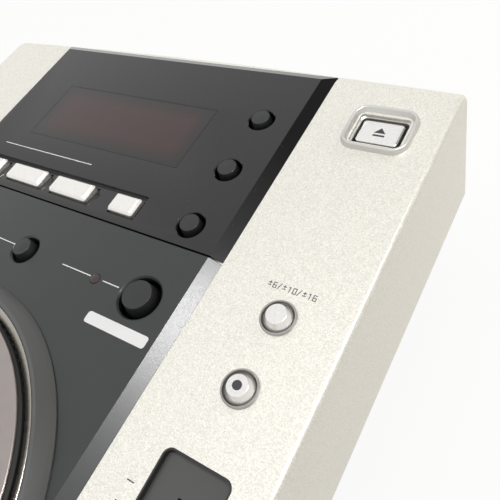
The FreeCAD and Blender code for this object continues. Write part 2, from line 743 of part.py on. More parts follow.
def make_display_window():
    """The smoked lens over the display."""
    return on_deck(block(WINDOW_X0, WINDOW_X1, -WINDOW_V1, -WINDOW_V0,
                         PANEL_HEIGHT - WINDOW_T, PANEL_HEIGHT))


def make_display_module():
    """The display unit that stands on the control board under the window."""
    inset = WINDOW_LEDGE + 0.5
    return on_deck(block(WINDOW_X0 + inset, WINDOW_X1 - inset, -WINDOW_V1 + inset,
                         -WINDOW_V0 - inset, -BOARD_DEPTH, PANEL_HEIGHT - WINDOW_T - 0.3))


def make_jog_panel():
    """The matt panel that carries the loop keys and the jog dial."""
    body = panel_solid(SEAM_V + SEAM_GAP, PANEL_FRONT_V, False, True)
    rear = (CONTROL_BOARD[0], CONTROL_BOARD[1], SEAM_V + 4.0, CONTROL_BOARD[3])
    body = joined([body] + corner_bosses(*rear, 0.5)[1::2])
    cuts = [rod_z(x, -LOOP_V, -1.0, PANEL_HEIGHT + 1.0, LOOP_BIG_HOLE_R)
            for x in (LOOP_IN_X, LOOP_OUT_X, BEAT_LOOP_X)]
    cuts += [key_lip(x, LOOP_V, LOOP_BIG_HOLE_R, LOOP_LIP) for x in (LOOP_IN_X, LOOP_OUT_X, BEAT_LOOP_X)]
    cuts.append(key_lip(RELOOP_X, LOOP_V, LOOP_SMALL_HOLE_R, LOOP_LIP))
    cuts.append(rod_z(RELOOP_X, -LOOP_V, -1.0, PANEL_HEIGHT + 1.0, LOOP_SMALL_HOLE_R))
    cuts.append(rod_z(LED_X, -LOOP_V, -1.0, PANEL_HEIGHT + 1.0, LED_R + WINDOW_FIT))
    cuts.append(rod_z(PANEL_X, -JOG_V, -1.0, PANEL_HEIGHT + 1.0, TRIM_FOOT_R + WINDOW_FIT))
    return on_deck(body.cut(cuts))


def make_loop_light():
    """The small lens between the loop keys, with its lamp below."""
    lens = rod_z(LED_X, -LOOP_V, -1.0, PANEL_HEIGHT + 0.3, LED_R)
    lens = lens.makeFillet(0.25, top_edges(lens, PANEL_HEIGHT + 0.3))
    lamp = rod_z(LED_X, -LOOP_V, -BOARD_DEPTH, -0.3, LED_R + 0.7)
    return on_deck(joined([lens, lamp]))


def make_jog_surround():
    """The satin ring round the jog dial, seated over the panel."""
    ring = turned(PANEL_X, -JOG_V, [(TRIM_R + WINDOW_FIT, 0.0), (SURROUND_R, 0.0),
                                    (SURROUND_R, SURROUND_EDGE_H),
                                    (SURROUND_CREST_R, SURROUND_CREST_H),
                                    (TRIM_R + WINDOW_FIT, TRIM_TOP)])
    return on_deck(ring).cut(make_jog_panel())


def make_jog_trim():
    """The bright ring just outside the jog dial."""
    inner_top = TRIM_TOP - TRIM_DROP
    return on_deck(turned(PANEL_X, -JOG_V, [
        (JOG_BORE_R, 0.0), (TRIM_FOOT_R, 0.0), (TRIM_FOOT_R, PANEL_HEIGHT), (TRIM_R, PANEL_HEIGHT),
        (TRIM_R, TRIM_TOP), (JOG_BORE_R + TRIM_LAND, inner_top), (JOG_BORE_R, inner_top - TRIM_LAND)]))


def make_jog_well():
    """The cup under the jog dial that holds its bush."""
    cup = tube_z(PANEL_X, -JOG_V, -WELL_DEPTH, 0.0, WELL_TOP_R - WELL_WALL, WELL_TOP_R)
    floor = tube_z(PANEL_X, -JOG_V, -WELL_DEPTH, -WELL_DEPTH + WELL_FLOOR, BUSH_R + BODY_FIT,
                   WELL_TOP_R)
    return on_deck(joined([cup, floor]))


def make_jog_wheel():
    """The dark body of the jog dial, hollow below, with its hub."""
    seat = JOG_TOP - JOG_PLATE_T
    hub_low = BUSH_TOP + KEY_REST_GAP
    return on_deck(turned(PANEL_X, -JOG_V, [
        (SHAFT_R, hub_low), (JOG_HUB_R, hub_low), (JOG_HUB_R, seat - JOG_SKIN),
        (JOG_R - JOG_SKIN, seat - JOG_SKIN), (JOG_R - JOG_SKIN, JOG_BOTTOM),
        (JOG_R, JOG_BOTTOM), (JOG_R, seat - 0.8), (JOG_R - 0.8, seat), (SHAFT_R, seat)]))


def make_jog_plate():
    """The pale top plate of the jog dial."""
    seat = JOG_TOP - JOG_PLATE_T
    rim = JOG_R - 0.8
    return on_deck(turned(PANEL_X, -JOG_V, [
        (0.0, seat), (rim, seat), (rim, JOG_TOP - 0.5), (rim - 0.5, JOG_TOP),
        (rim - 21.0, JOG_TOP), (rim - 22.0, JOG_TOP - 0.5), (0.0, JOG_TOP - 0.5)]))


def make_jog_shaft():
    """The steel shaft of the jog dial with its retaining clip."""
    low = BUSH_BOTTOM - KEY_REST_GAP - CIRCLIP_T - 1.0
    shaft = rod_z(PANEL_X, -JOG_V, low, JOG_TOP - JOG_PLATE_T, SHAFT_R)
    clip_top = BUSH_BOTTOM - KEY_REST_GAP
    clip = rod_z(PANEL_X, -JOG_V, clip_top - CIRCLIP_T, clip_top, CIRCLIP_R)
    return on_deck(joined([shaft, clip]))


def make_jog_bush():
    """The flanged bush that the jog shaft turns in."""
    bore = SHAFT_R + RUNNING_FIT
    return on_deck(turned(PANEL_X, -JOG_V, [
        (bore, BUSH_BOTTOM), (BUSH_R, BUSH_BOTTOM), (BUSH_R, -WELL_DEPTH + WELL_FLOOR),
        (BUSH_FLANGE_R, -WELL_DEPTH + WELL_FLOOR), (BUSH_FLANGE_R, BUSH_TOP), (bore, BUSH_TOP)]))


def make_encoder_disc():
    """The slotted disc on the jog hub that the sensor reads."""
    z0 = -WELL_DEPTH / 2 + 1.0
    disc = tube_z(PANEL_X, -JOG_V, z0, z0 + ENCODER_T, JOG_HUB_R, ENCODER_R)
    slits = []
    for index in range(ENCODER_SLITS):
        slit = block(ENCODER_R - 5.0, ENCODER_R - 2.0, -0.5, 0.5, z0 - 1.0, z0 + 1.0 + ENCODER_T)
        slit.rotate(V(0, 0, 0), V(0, 0, 1), index * 360.0 / ENCODER_SLITS)
        slit.translate(V(PANEL_X, -JOG_V, 0))
        slits.append(slit)
    return on_deck(disc.cut(slits))


def make_encoder_sensor():
    """The forked light sensor astride the slotted disc."""
    z0 = -WELL_DEPTH + WELL_FLOOR
    disc_z = -WELL_DEPTH / 2 + 1.0
    y = -JOG_V - ENCODER_R + 3.5
    body = block(PANEL_X - 5.0, PANEL_X + 5.0, y - 9.0, y + 5.0, z0, disc_z + 3.5)
    gap = block(PANEL_X - 6.0, PANEL_X + 6.0, y - 5.0, y + 6.0, disc_z - 0.8, disc_z + ENCODER_T + 0.8)
    return on_deck(body.cut(gap))


def make_eject_bezel():
    """The raised frame round the eject key: sloping walls, and a ledge round the key."""
    x, y = COLUMN_X, -EJECT_V
    width, length = EJECT_BEZEL
    crown = (width - 2 * EJECT_SIDE, length - 2 * EJECT_SIDE)
    ring = tapered(x, y, (EJECT_BEZEL, EJECT_BEZEL_R, 0.0), (crown, EJECT_BEZEL_R - EJECT_SIDE, EJECT_RIM))
    hole = [side + 2 * EJECT_HOLE_CLEAR for side in EJECT_CAP]
    collar = pad(x, y, hole[0] + 2.3, hole[1] + 2.3, -SHELL_WALL, 0.5, EJECT_CAP_R)
    mouth = tapered(x, y, (EJECT_LEDGE, EJECT_LEDGE_R, EJECT_LEDGE_H),
                    (EJECT_MOUTH, EJECT_MOUTH_R, EJECT_RIM + 0.01))
    shaft = pad(x, y, hole[0], hole[1], -5.0, 0.0, EJECT_CAP_R + EJECT_HOLE_CLEAR)
    return on_deck(joined([ring, collar]).cut([mouth, shaft]))


def make_eject_button():
    """The eject key."""
    under = -SHELL_WALL
    cap = pad(COLUMN_X, -EJECT_V, EJECT_CAP[0], EJECT_CAP[1],
              under - KEY_REST_GAP - KEY_FLANGE, EJECT_CAP_TOP, EJECT_CAP_R)
    cap = cap.makeFillet(0.6, top_edges(cap, EJECT_CAP_TOP))
    flange = pad(COLUMN_X, -EJECT_V, EJECT_CAP[0] + 4.0, EJECT_CAP[1] + 4.0,
                 under - KEY_REST_GAP - KEY_FLANGE, under - KEY_REST_GAP, EJECT_CAP_R)
    return on_deck(joined([cap, flange, key_stem(COLUMN_X, EJECT_V, STEM_R, under)[1]]))


def key_rings(places, key_r, ring_r, height):
    """Thin rings that stand on the deck round their keys."""
    bore = key_r + ROUND_CLEAR
    profile = [(bore, 0.0), (ring_r, 0.0), (ring_r, height - RING_LAND),
               (ring_r - RING_LAND, height), (ring_r - 2 * RING_LAND, height), (bore, height / 3)]
    return Part.makeCompound([on_deck(turned(x, -v, profile)) for x, v in places])


def make_slider_plate():
    """The sunk plate of the tempo slider with its slot."""
    y = -SLIDE_MID_V
    tray = pad(COLUMN_X, y, SLIDE_WIDTH - 0.2, SLIDE_LENGTH - 0.2,
               -SLIDE_DEPTH - SLIDE_FLOOR, 0.0, SLIDE_CORNER)
    pocket = pad(COLUMN_X, y, SLIDE_WIDTH - 2 * SLIDE_RIM, SLIDE_LENGTH - 2 * SLIDE_RIM,
                 -SLIDE_DEPTH, 1.0, SLIDE_CORNER - SLIDE_RIM)
    return on_deck(tray.cut([pocket, slider_slot(-SLIDE_DEPTH - SLIDE_FLOOR - 1.0, 0.0)]))


def slider_slot(z0, z1):
    """The slot that the slider's lever runs in."""
    length = SLIDE_TRAVEL + 2 * SLIDE_SLOT_SPARE
    return block(COLUMN_X - SLIDE_SLOT_W / 2, COLUMN_X + SLIDE_SLOT_W / 2,
                 -SLIDE_MID_V - length / 2, -SLIDE_MID_V + length / 2, z0, z1)


def make_slider_unit():
    """The slide control below the plate, with its inner groove."""
    top = -SLIDE_DEPTH - SLIDE_FLOOR
    length = SLIDE_TRAVEL + 2 * SLIDE_SLOT_SPARE + 6.0
    half = SLIDER_UNIT_W / 2
    body = block(COLUMN_X - half, COLUMN_X + half, -SLIDE_MID_V - length / 2,
                 -SLIDE_MID_V + length / 2, top - SLIDER_UNIT_H, top)
    return on_deck(body.cut(slider_slot(top - SLIDER_UNIT_H + 1.5, top + 1.0)))


def make_slider_knob():
    """The slider's finger cap with a waist and its lever."""
    low = -SLIDE_DEPTH + KNOB_GAP
    half = KNOB_L / 2
    profile = [V(0, -half, low), V(0, half, low), V(0, half, low + 2.0), V(0, half - 1.5, KNOB_TOP),
               V(0, half - 3.0, KNOB_TOP), V(0, 0, KNOB_TOP - 1.4), V(0, 3.0 - half, KNOB_TOP),
               V(0, 1.5 - half, KNOB_TOP), V(0, -half, low + 2.0)]
    cap = Part.Face(Part.makePolygon(profile + profile[:1])).extrude(V(KNOB_W, 0, 0))
    cap.translate(V(COLUMN_X - KNOB_W / 2, -SLIDE_MID_V, 0))
    lever_low = -SLIDE_DEPTH - SLIDE_FLOOR - SLIDER_UNIT_H + 2.5
    lever = block(COLUMN_X - LEVER_W / 2, COLUMN_X + LEVER_W / 2, -SLIDE_MID_V - LEVER_T / 2,
                  -SLIDE_MID_V + LEVER_T / 2, lever_low, low + 1.0)
    return on_deck(joined([cap, lever]))


def foot_places():
    """The centres of the four feet."""
    front = FRONT_SIDE_Y + FOOT_FROM_FRONT
    rear = REAR_SIDE_Y - FOOT_FROM_REAR
    return [(x, y) for x in (-FOOT_X, FOOT_X) for y in (front, rear)]


def make_feet():
    """Four rubber feet."""
    feet = []
    for x, y in foot_places():
        foot = rod_z(x, y, 0.0, CASE_FLOOR_Z, FOOT_R)
        feet.append(foot.makeChamfer(1.0, top_edges(foot, 0.0)))
    return Part.makeCompound(feet)


def make_case_screws():
    """The screws that join the lower case and the shell."""
    screws = []
    for x, v in case_boss_places():
        seat = CASE_FLOOR_Z + SCREW_SINK
        low = seat - SCREW_HEAD_T
        head = boss_post(x, v, low, seat, SCREW_HEAD_R)
        stem = boss_post(x, v, CASE_FLOOR_Z, FLOOR_TOP + SCREW_BITE, SCREW_R)
        slot = boss_post(x, v, low - 1.0, low + SCREW_DRIVE_DEPTH, SCREW_HEAD_R / 3)
        screws.append(joined([head, stem]).cut(slot))
    return Part.makeCompound(screws)


def make_jack(x):
    """A phono socket: barrel and collar outside, plate and block inside the rear wall."""
    inner = CASE_REAR_Y - CASE_WALL
    barrel = rod_y(inner - 1.0, CASE_REAR_Y + JACK_L, x, SOCKET_Z, JACK_R)
    body = block(x - JACK_PLATE / 2, x + JACK_PLATE / 2, inner - JACK_BLOCK_L, inner,
                 SOCKET_Z - JACK_PLATE / 2, SOCKET_Z + JACK_PLATE / 2)
    collar = rod_y(CASE_REAR_Y, CASE_REAR_Y + JACK_COLLAR_T, x, SOCKET_Z, JACK_COLLAR_R)
    hole = rod_y(CASE_REAR_Y - 4.0, CASE_REAR_Y + JACK_L + 1.0, x, SOCKET_Z, JACK_HOLE_R)
    return joined([barrel, collar, body]).cut(hole)


def make_control_jack():
    """The small socket for a link to another player."""
    inner = CASE_REAR_Y - CASE_WALL
    barrel = rod_y(inner - 1.0, CASE_REAR_Y + 1.5, CONTROL_X, SOCKET_Z, CONTROL_R)
    body = block(CONTROL_X - 5.5, CONTROL_X + 5.5, inner - 14.0, inner, SOCKET_Z - 5.5, SOCKET_Z + 5.5)
    bore = rod_y(CASE_REAR_Y + 1.5 - CONTROL_BORE_L, CASE_REAR_Y + 3.0, CONTROL_X, SOCKET_Z,
                 CONTROL_BORE_R)
    return joined([barrel, body]).cut(bore)


def make_power_inlet():
    """The two-pin power inlet in the rear wall."""
    half_w, half_h = INLET_OUT[0] / 2, INLET_OUT[1] / 2
    flange = block(INLET_X - half_w, INLET_X + half_w, CASE_REAR_Y, CASE_REAR_Y + INLET_FLANGE_T,
                   SOCKET_Z - half_h, SOCKET_Z + half_h)
    body = block(INLET_X - half_w + 2.15, INLET_X + half_w - 2.15,
                 CASE_REAR_Y - INLET_DEPTH - 2.0, CASE_REAR_Y + 0.5,
                 SOCKET_Z - half_h + 2.15, SOCKET_Z + half_h - 2.15)
    mouth = block(INLET_X - INLET_MOUTH[0] / 2, INLET_X + INLET_MOUTH[0] / 2,
                  CASE_REAR_Y + INLET_FLANGE_T - INLET_DEPTH, CASE_REAR_Y + INLET_FLANGE_T + 1.0,
                  SOCKET_Z - INLET_MOUTH[1] / 2, SOCKET_Z + INLET_MOUTH[1] / 2)
    body = joined([flange, body]).cut(mouth)
    back = CASE_REAR_Y + INLET_FLANGE_T - INLET_DEPTH
    pins = [rod_y(back - 1.0, back + INLET_PIN_L, INLET_X + side * INLET_PIN_X, SOCKET_Z, INLET_PIN_R)
            for side in (-1, 1)]
    return joined([body] + pins)


def make_power_switch():
    """The fixed body of the power switch, inside the rear wall."""
    inner = CASE_REAR_Y - CASE_WALL
    body = block(POWER_KEY_X - 8.0, POWER_KEY_X + 8.0, inner - 20.0, inner,
                 SOCKET_Z - 8.0, SOCKET_Z + 8.0)
    return body.cut(rod_y(inner - 10.0, inner + 1.0, POWER_KEY_X, SOCKET_Z, POWER_KEY_R + 0.9 + 0.3))


def make_power_button():
    """The round power key at the rear."""
    inner = CASE_REAR_Y - CASE_WALL
    cap = rod_y(inner - 4.0, CASE_REAR_Y + POWER_KEY_OUT, POWER_KEY_X, SOCKET_Z, POWER_KEY_R)
    flange = rod_y(inner - 1.5, inner - KEY_REST_GAP, POWER_KEY_X, SOCKET_Z, POWER_KEY_R + 0.9)
    return joined([cap, flange])


def loader_limits():
    """The loader's front and rear."""
    return -DEPTH / 2 + LOADER_FRONT_GAP, SPINDLE_Y + LOADER_REAR_REACH


def make_loader_chassis():
    """The loader's steel tray with its side walls and the frame's guide posts."""
    y0, y1 = loader_limits()
    half = LOADER_W / 2
    floor = block(-half, half, y0, y1, LOADER_FLOOR_Z, LOADER_FLOOR_Z + LOADER_T)
    walls = [block(side * (half - LOADER_T / 2) - LOADER_T / 2, side * (half - LOADER_T / 2) + LOADER_T / 2,
                   y0, y1, LOADER_FLOOR_Z, LOADER_COVER_Z) for side in (-1, 1)]
    posts = []
    for x, y in frame_post_places():
        posts.append(rod_z(x, y, LOADER_FLOOR_Z, FRAME_Z, FRAME_SHOULDER_R))
        posts.append(rod_z(x, y, LOADER_FLOOR_Z, FRAME_Z + FRAME_T + FRAME_LIFT, FRAME_POST_R))
    rest = block(-MOTOR_L - 25.0, -25.0, roller_y() + 25.0, roller_y() + 27.0,
                 LOADER_FLOOR_Z, LOADER_FLOOR_Z + LOADER_T + 1.0)
    body = joined([floor] + walls + posts + [rest])
    pivot_y = SPINDLE_Y - ROLLER_PIVOT_REACH
    pins = [rod_x(-half - 1, half + 1, pivot_y, ROLLER_PIVOT_Z, ROLLER_PIN_R + RUNNING_FIT)]
    window = block(-SPINDLE_MOTOR_R - 3, SPINDLE_MOTOR_R + 3, SPINDLE_Y - SPINDLE_MOTOR_R - 3,
                   SPINDLE_Y + SPINDLE_MOTOR_R + 3, LOADER_FLOOR_Z - 1, LOADER_FLOOR_Z + 2)
    return body.cut(pins + [window])


def frame_post_places():
    """The four guide posts of the drive frame."""
    x = FRAME_W / 2 - 5.0
    y0 = SPINDLE_Y - FRAME_FRONT_REACH + 5.0
    y1 = SPINDLE_Y + FRAME_REAR_REACH - 14.0
    return [(side * x, y) for side in (-1, 1) for y in (y0, y1)]


def roller_y():
    """The feed roller's place from front to rear."""
    return SPINDLE_Y - ROLLER_REACH


def make_loader_cover():
    """The plate over the disc path, with the clamper's hole and the arm's pin."""
    y0, y1 = loader_limits()
    half = LOADER_W / 2
    top = LOADER_COVER_Z + LOADER_T
    plate = block(-half, half, y0, y1, LOADER_COVER_Z, top)
    plate = plate.cut(rod_z(0, SPINDLE_Y, LOADER_COVER_Z - 1, top + 1, CLAMPER_HOLE_R))
    pivot_y = SPINDLE_Y + ARM_PIVOT_REACH
    lug_x = ARM_W / 2 + 0.3
    z = arm_pivot_z()
    lugs = []
    for side in (-1, 1):
        lugs.append(block(min(side * lug_x, side * (lug_x + 2)), max(side * lug_x, side * (lug_x + 2)),
                          pivot_y - 3.5, pivot_y + 3.5, LOADER_COVER_Z, z + 3.0))
    pin = rod_x(-lug_x - 2, lug_x + 2, pivot_y, z, ARM_PIN_R)
    return joined([plate] + lugs + [pin])


def arm_pivot_z():
    """The height of the clamp arm's pin."""
    return ARM_Z + ARM_SLEEVE_R + 1.0


def make_clamp_arm():
    """The arm that lowers the clamper onto a disc."""
    pivot_y = SPINDLE_Y + ARM_PIVOT_REACH
    z = arm_pivot_z()
    plate = block(-ARM_W / 2, ARM_W / 2, SPINDLE_Y - 12.0, pivot_y, ARM_Z, ARM_Z + ARM_T)
    sleeve = rod_x(-ARM_W / 2, ARM_W / 2, pivot_y, z, ARM_SLEEVE_R)
    web = block(-ARM_W / 2, ARM_W / 2, pivot_y - 2.0, pivot_y + 2.0, ARM_Z, z)
    body = joined([plate, web, sleeve])
    bore = rod_x(-ARM_W, ARM_W, pivot_y, z, ARM_PIN_R + RUNNING_FIT)
    eye = rod_z(0, SPINDLE_Y, ARM_Z - 1, ARM_Z + ARM_T + 1, CLAMPER_HUB_R + 0.1)
    return body.cut([bore, eye])


def make_clamper():
    """The turning puck that presses the disc on its turntable."""
    top = ARM_Z + ARM_T + KEY_REST_GAP
    body = turned(0, SPINDLE_Y, [
        (0, CLAMPER_Z + CLAMPER_RECESS),
        (CONE_R - CONE_TAPER + CLAMPER_CONE_GAP, CLAMPER_Z + CLAMPER_RECESS),
        (CONE_R + CLAMPER_CONE_GAP, CLAMPER_Z), (CLAMPER_R, CLAMPER_Z),
        (CLAMPER_R, CLAMPER_Z + CLAMPER_T), (CLAMPER_HUB_R, CLAMPER_Z + CLAMPER_T + 0.4),
        (CLAMPER_HUB_R, top), (CLAMPER_HUB_R + 3, top), (CLAMPER_HUB_R + 3, top + 1.2), (0, top + 1.2)])
    return body


def make_drive_frame():
    """The frame that carries spindle motor, pickup rods and lead screw."""
    y0 = SPINDLE_Y - FRAME_FRONT_REACH
    y1 = SPINDLE_Y + FRAME_REAR_REACH
    half = FRAME_W / 2
    plate = block(-half, half, y0, y1, FRAME_Z, FRAME_Z + FRAME_T)
    window = block(-20.0, 20.0, SLED_Y - 2.0, y1 - 12.0, FRAME_Z - 1, FRAME_Z + FRAME_T + 1)
    holes = [rod_z(x, y, FRAME_Z - 1, FRAME_Z + FRAME_T + 1, FRAME_POST_R + RUNNING_FIT)
             for x, y in frame_post_places()]
    shaft = rod_z(0, SPINDLE_Y, FRAME_Z - 1, FRAME_Z + FRAME_T + 1, SPINDLE_R + 1.0)
    plate = plate.cut([window, shaft] + holes)
    blocks = []
    for x, y in rod_block_places():
        blocks.append(block(x - BLOCK / 2, x + BLOCK / 2, y - BLOCK / 2, y + BLOCK / 2,
                            FRAME_Z + FRAME_T / 2, ROD_Z + 2.4))
    body = joined([plate] + blocks)
    bores = [rod_y(rod_front(), rod_rear(), x, ROD_Z, ROD_R + BODY_FIT) for x in (-ROD_X, ROD_X)]
    bores.append(rod_y(rod_front(), rod_rear() + BLOCK, SCREW_X, ROD_Z, ROD_R + RUNNING_FIT))
    return body.cut(bores)


def rod_block_places():
    """The blocks that hold the rods' ends and the screw's ends."""
    return [(x, y) for x in (-ROD_X, ROD_X, SCREW_X) for y in (rod_front(), rod_rear())]


def rod_front():
    """The front end of the pickup's rods."""
    return SLED_Y - 4.0


def rod_rear():
    """The rear end of the pickup's rods."""
    return SLED_Y + SLED_LENGTH + SLED_TRAVEL + 3.2


def make_guide_rods():
    """The two rods that the pickup slides on."""
    return Part.makeCompound([rod_y(rod_front(), rod_rear(), x, ROD_Z, ROD_R) for x in (-ROD_X, ROD_X)])


def make_lead_screw():
    """The threaded rod that drives the pickup."""
    screw = rod_y(rod_front(), rod_rear() + BLOCK / 2 + 0.6, SCREW_X, ROD_Z, ROD_R)
    return screw


def make_pickup_sled():
    """The pickup on its rods, with its lens and half nut."""
    y0, y1 = SLED_Y, SLED_Y + SLED_LENGTH
    core = block(-17.0, 17.0, y0, y1, SLED_Z0, SLED_Z1)
    ears = [block(min(side * 15.0, side * (ROD_X + 2.4)), max(side * 15.0, side * (ROD_X + 2.4)),
                  y0 + 2.0, y1 - 2.0, SLED_Z0, SLED_Z1) for side in (-1, 1)]
    nut = block(ROD_X + 2.0, SCREW_X - ROD_R - 0.3, y0 + 8.0, y0 + 13.0, SLED_Z0, SLED_Z1)
    lens = rod_z(0, (y0 + y1) / 2, SLED_Z1 - 1.0, SLED_Z1 + LENS_H, LENS_R)
    body = joined([core] + ears + [nut, lens])
    bores = [rod_y(y0 - 1, y1 + 1, x, ROD_Z, ROD_R + RUNNING_FIT) for x in (-ROD_X, ROD_X)]
    return body.cut(bores)


def make_sled_motor():
    """The small motor that turns the lead screw."""
    y0 = rod_rear() + BLOCK / 2 + 1.0
    can = rod_y(y0, y0 + SLED_MOTOR_L, SCREW_X, ROD_Z + 1.0, SLED_MOTOR_R)
    foot = block(SCREW_X - 4.0, SCREW_X + 4.0, y0, y0 + 8.0, FRAME_Z + FRAME_T, ROD_Z)
    return joined([can, foot]).common(block(-DEPTH, DEPTH, -DEPTH, DEPTH, FRAME_Z + FRAME_T, 90.0))


def make_spindle_motor():
    """The flat motor under the drive frame."""
    return rod_z(0, SPINDLE_Y, FRAME_Z - SPINDLE_MOTOR_H, FRAME_Z, SPINDLE_MOTOR_R).cut(
        rod_z(0, SPINDLE_Y, FRAME_Z - SPINDLE_MOTOR_H + 1.0, FRAME_Z + 1, SPINDLE_R + RUNNING_FIT))


def make_turntable():
    """The turntable with its centring cone and shaft."""
    low = FRAME_Z - SPINDLE_MOTOR_H + 1.2
    seat = TURNTABLE_Z + TURNTABLE_T
    return turned(0, SPINDLE_Y, [
        (0, low), (SPINDLE_R, low), (SPINDLE_R, TURNTABLE_Z), (TURNTABLE_R, TURNTABLE_Z),
        (TURNTABLE_R, seat), (CONE_R, seat), (CONE_R - CONE_TAPER, seat + CONE_H), (0, seat + CONE_H)])


def make_roller_arm():
    """The swinging carrier of the feed roller."""
    pivot_y = SPINDLE_Y - ROLLER_PIVOT_REACH
    y = roller_y()
    sides = []
    for side in (-1, 1):
        x0 = side * ROLLER_ARM_X
        x1 = side * (ROLLER_ARM_X + ROLLER_ARM_T)
        low_x, high_x = min(x0, x1), max(x0, x1)
        sides.append(rod_x(low_x, high_x, y, ROLLER_Z, 3.6))
        sides.append(rod_x(low_x, high_x, pivot_y, ROLLER_PIVOT_Z, 4.0))
        sides.append(block(low_x, high_x, y, pivot_y, ROLLER_PIVOT_Z - 1.0, ROLLER_Z))
        pin_end = side * (LOADER_W / 2 + 0.6)
        sides.append(rod_x(min(x0, pin_end), max(x0, pin_end), pivot_y, ROLLER_PIVOT_Z, ROLLER_PIN_R))
    bar = block(-ROLLER_ARM_X - 0.5, ROLLER_ARM_X + 0.5, pivot_y - 2.0, pivot_y + 2.0,
                ROLLER_PIVOT_Z - 2.0, ROLLER_PIVOT_Z + 0.5)
    body = joined(sides + [bar])
    return body.cut(rod_x(-ROLLER_ARM_X - 5, ROLLER_ARM_X + 5, y, ROLLER_Z, ROLLER_SHAFT_R + RUNNING_FIT))


def make_roller_shaft():
    """The feed roller's steel shaft."""
    half = ROLLER_ARM_X + ROLLER_ARM_T + 1.0
    return rod_x(-half, half, roller_y(), ROLLER_Z, ROLLER_SHAFT_R)


def make_feed_roller():
    """The rubber roller, thinner in the middle so that only the disc's edge is gripped."""
    y = roller_y()
    halves = []
    for side in (-1, 1):
        halves.append(Part.makeCone(ROLLER_R - 1.2, ROLLER_R, ROLLER_HALF, V(0, y, ROLLER_Z), V(side, 0, 0)))
    return joined(halves).cut(rod_x(-ROLLER_HALF - 1, ROLLER_HALF + 1, y, ROLLER_Z, ROLLER_SHAFT_R))


def make_loading_motor():
    """The motor that loads and ejects the disc."""
    y = roller_y() + 26.0
    z = LOADER_FLOOR_Z + LOADER_T + 1.0 + MOTOR_R
    can = rod_x(-MOTOR_L - 25.0, -25.0, y, z, MOTOR_R)
    worm = rod_x(-25.0, -17.0, y, z, 2.0)
    return joined([can, worm])


def make_dampers():
    """The rubber pillars between the lower case and the loader."""
    y0, y1 = loader_limits()
    half = LOADER_W / 2 - DAMPER_INSET
    places = [(side * half, y) for side in (-1, 1) for y in (y0 + DAMPER_INSET, y1 - DAMPER_INSET)]
    return Part.makeCompound([rod_z(x, y, FLOOR_TOP, LOADER_FLOOR_Z, DAMPER_R) for x, y in places])


def make_transformer():
    """The mains transformer: core and winding."""
    width, length, height = TRANSFORMER
    x, y = power_board_corner()
    x0 = x + 10.0
    y0 = y - length - 3.0
    core = block(x0, x0 + width, y0 + 6.0, y0 + length - 6.0, FLOOR_TOP, FLOOR_TOP + height)
    coil = pad(x0 + width / 2, y0 + length / 2, width - 14.0, length, FLOOR_TOP + 6.0,
               FLOOR_TOP + height - 6.0, 4.0)
    return joined([core, coil])


def group(*shapes):
    """Several separate solids that share one node."""
    return Part.makeCompound(list(shapes))


def make_key_boards():
    """The boards under the deck with their switches, and the jog dial's sensor."""
    return group(key_board(*CONTROL_BOARD, PANEL_KEYS), key_board(*RIGHT_BOARD, RIGHT_KEYS),
                 key_board(*LEFT_BOARD, LEFT_KEYS), make_encoder_sensor())


def make_main_board():
    """The main board with its chips."""
    return floor_board(main_board_corner(), MAIN_BOARD,
                       [(20.0, 20.0, 14.0, 14.0, 2.0), (50.0, 30.0, 20.0, 20.0, 2.5),
                        (12.0, 52.0, 10.0, 8.0, 8.0)])


def make_power_supply():
    """The power board with its tall parts, the transformer and the switch body."""
    board = floor_board(power_board_corner(), POWER_BOARD,
                        [(8.0, 8.0, 12.0, 12.0, 20.0), (26.0, 12.0, 20.0, 4.0, 18.0)])
    return group(board, make_transformer(), make_power_switch())


def small_key(x, v):
    """One of the small round keys on the pale columns."""
    return round_key(x, v, ROUND_KEY_R, ROUND_KEY_R, ROUND_KEY_TOP, -SHELL_WALL, ROUND_SOFTNESS)


def large_key(v):
    """One of the two large round keys at the front left."""
    return round_key(LEFT_X, v, PLAY_KEY_R, PLAY_KEY_R, PLAY_KEY_TOP, -SHELL_WALL, ROUND_SOFTNESS)


def side_key(v):
    """One of the small round keys beside the display."""
    return round_key(SIDE_KEY_X, v, SIDE_KEY_R, SIDE_KEY_HOLE_R, SIDE_KEY_TOP, 0.0)


def loop_key(x):
    """One of the large round keys in the loop row."""
    return round_key(x, LOOP_V, LOOP_BIG_R, LOOP_BIG_HOLE_R, LOOP_TOP, 0.0)


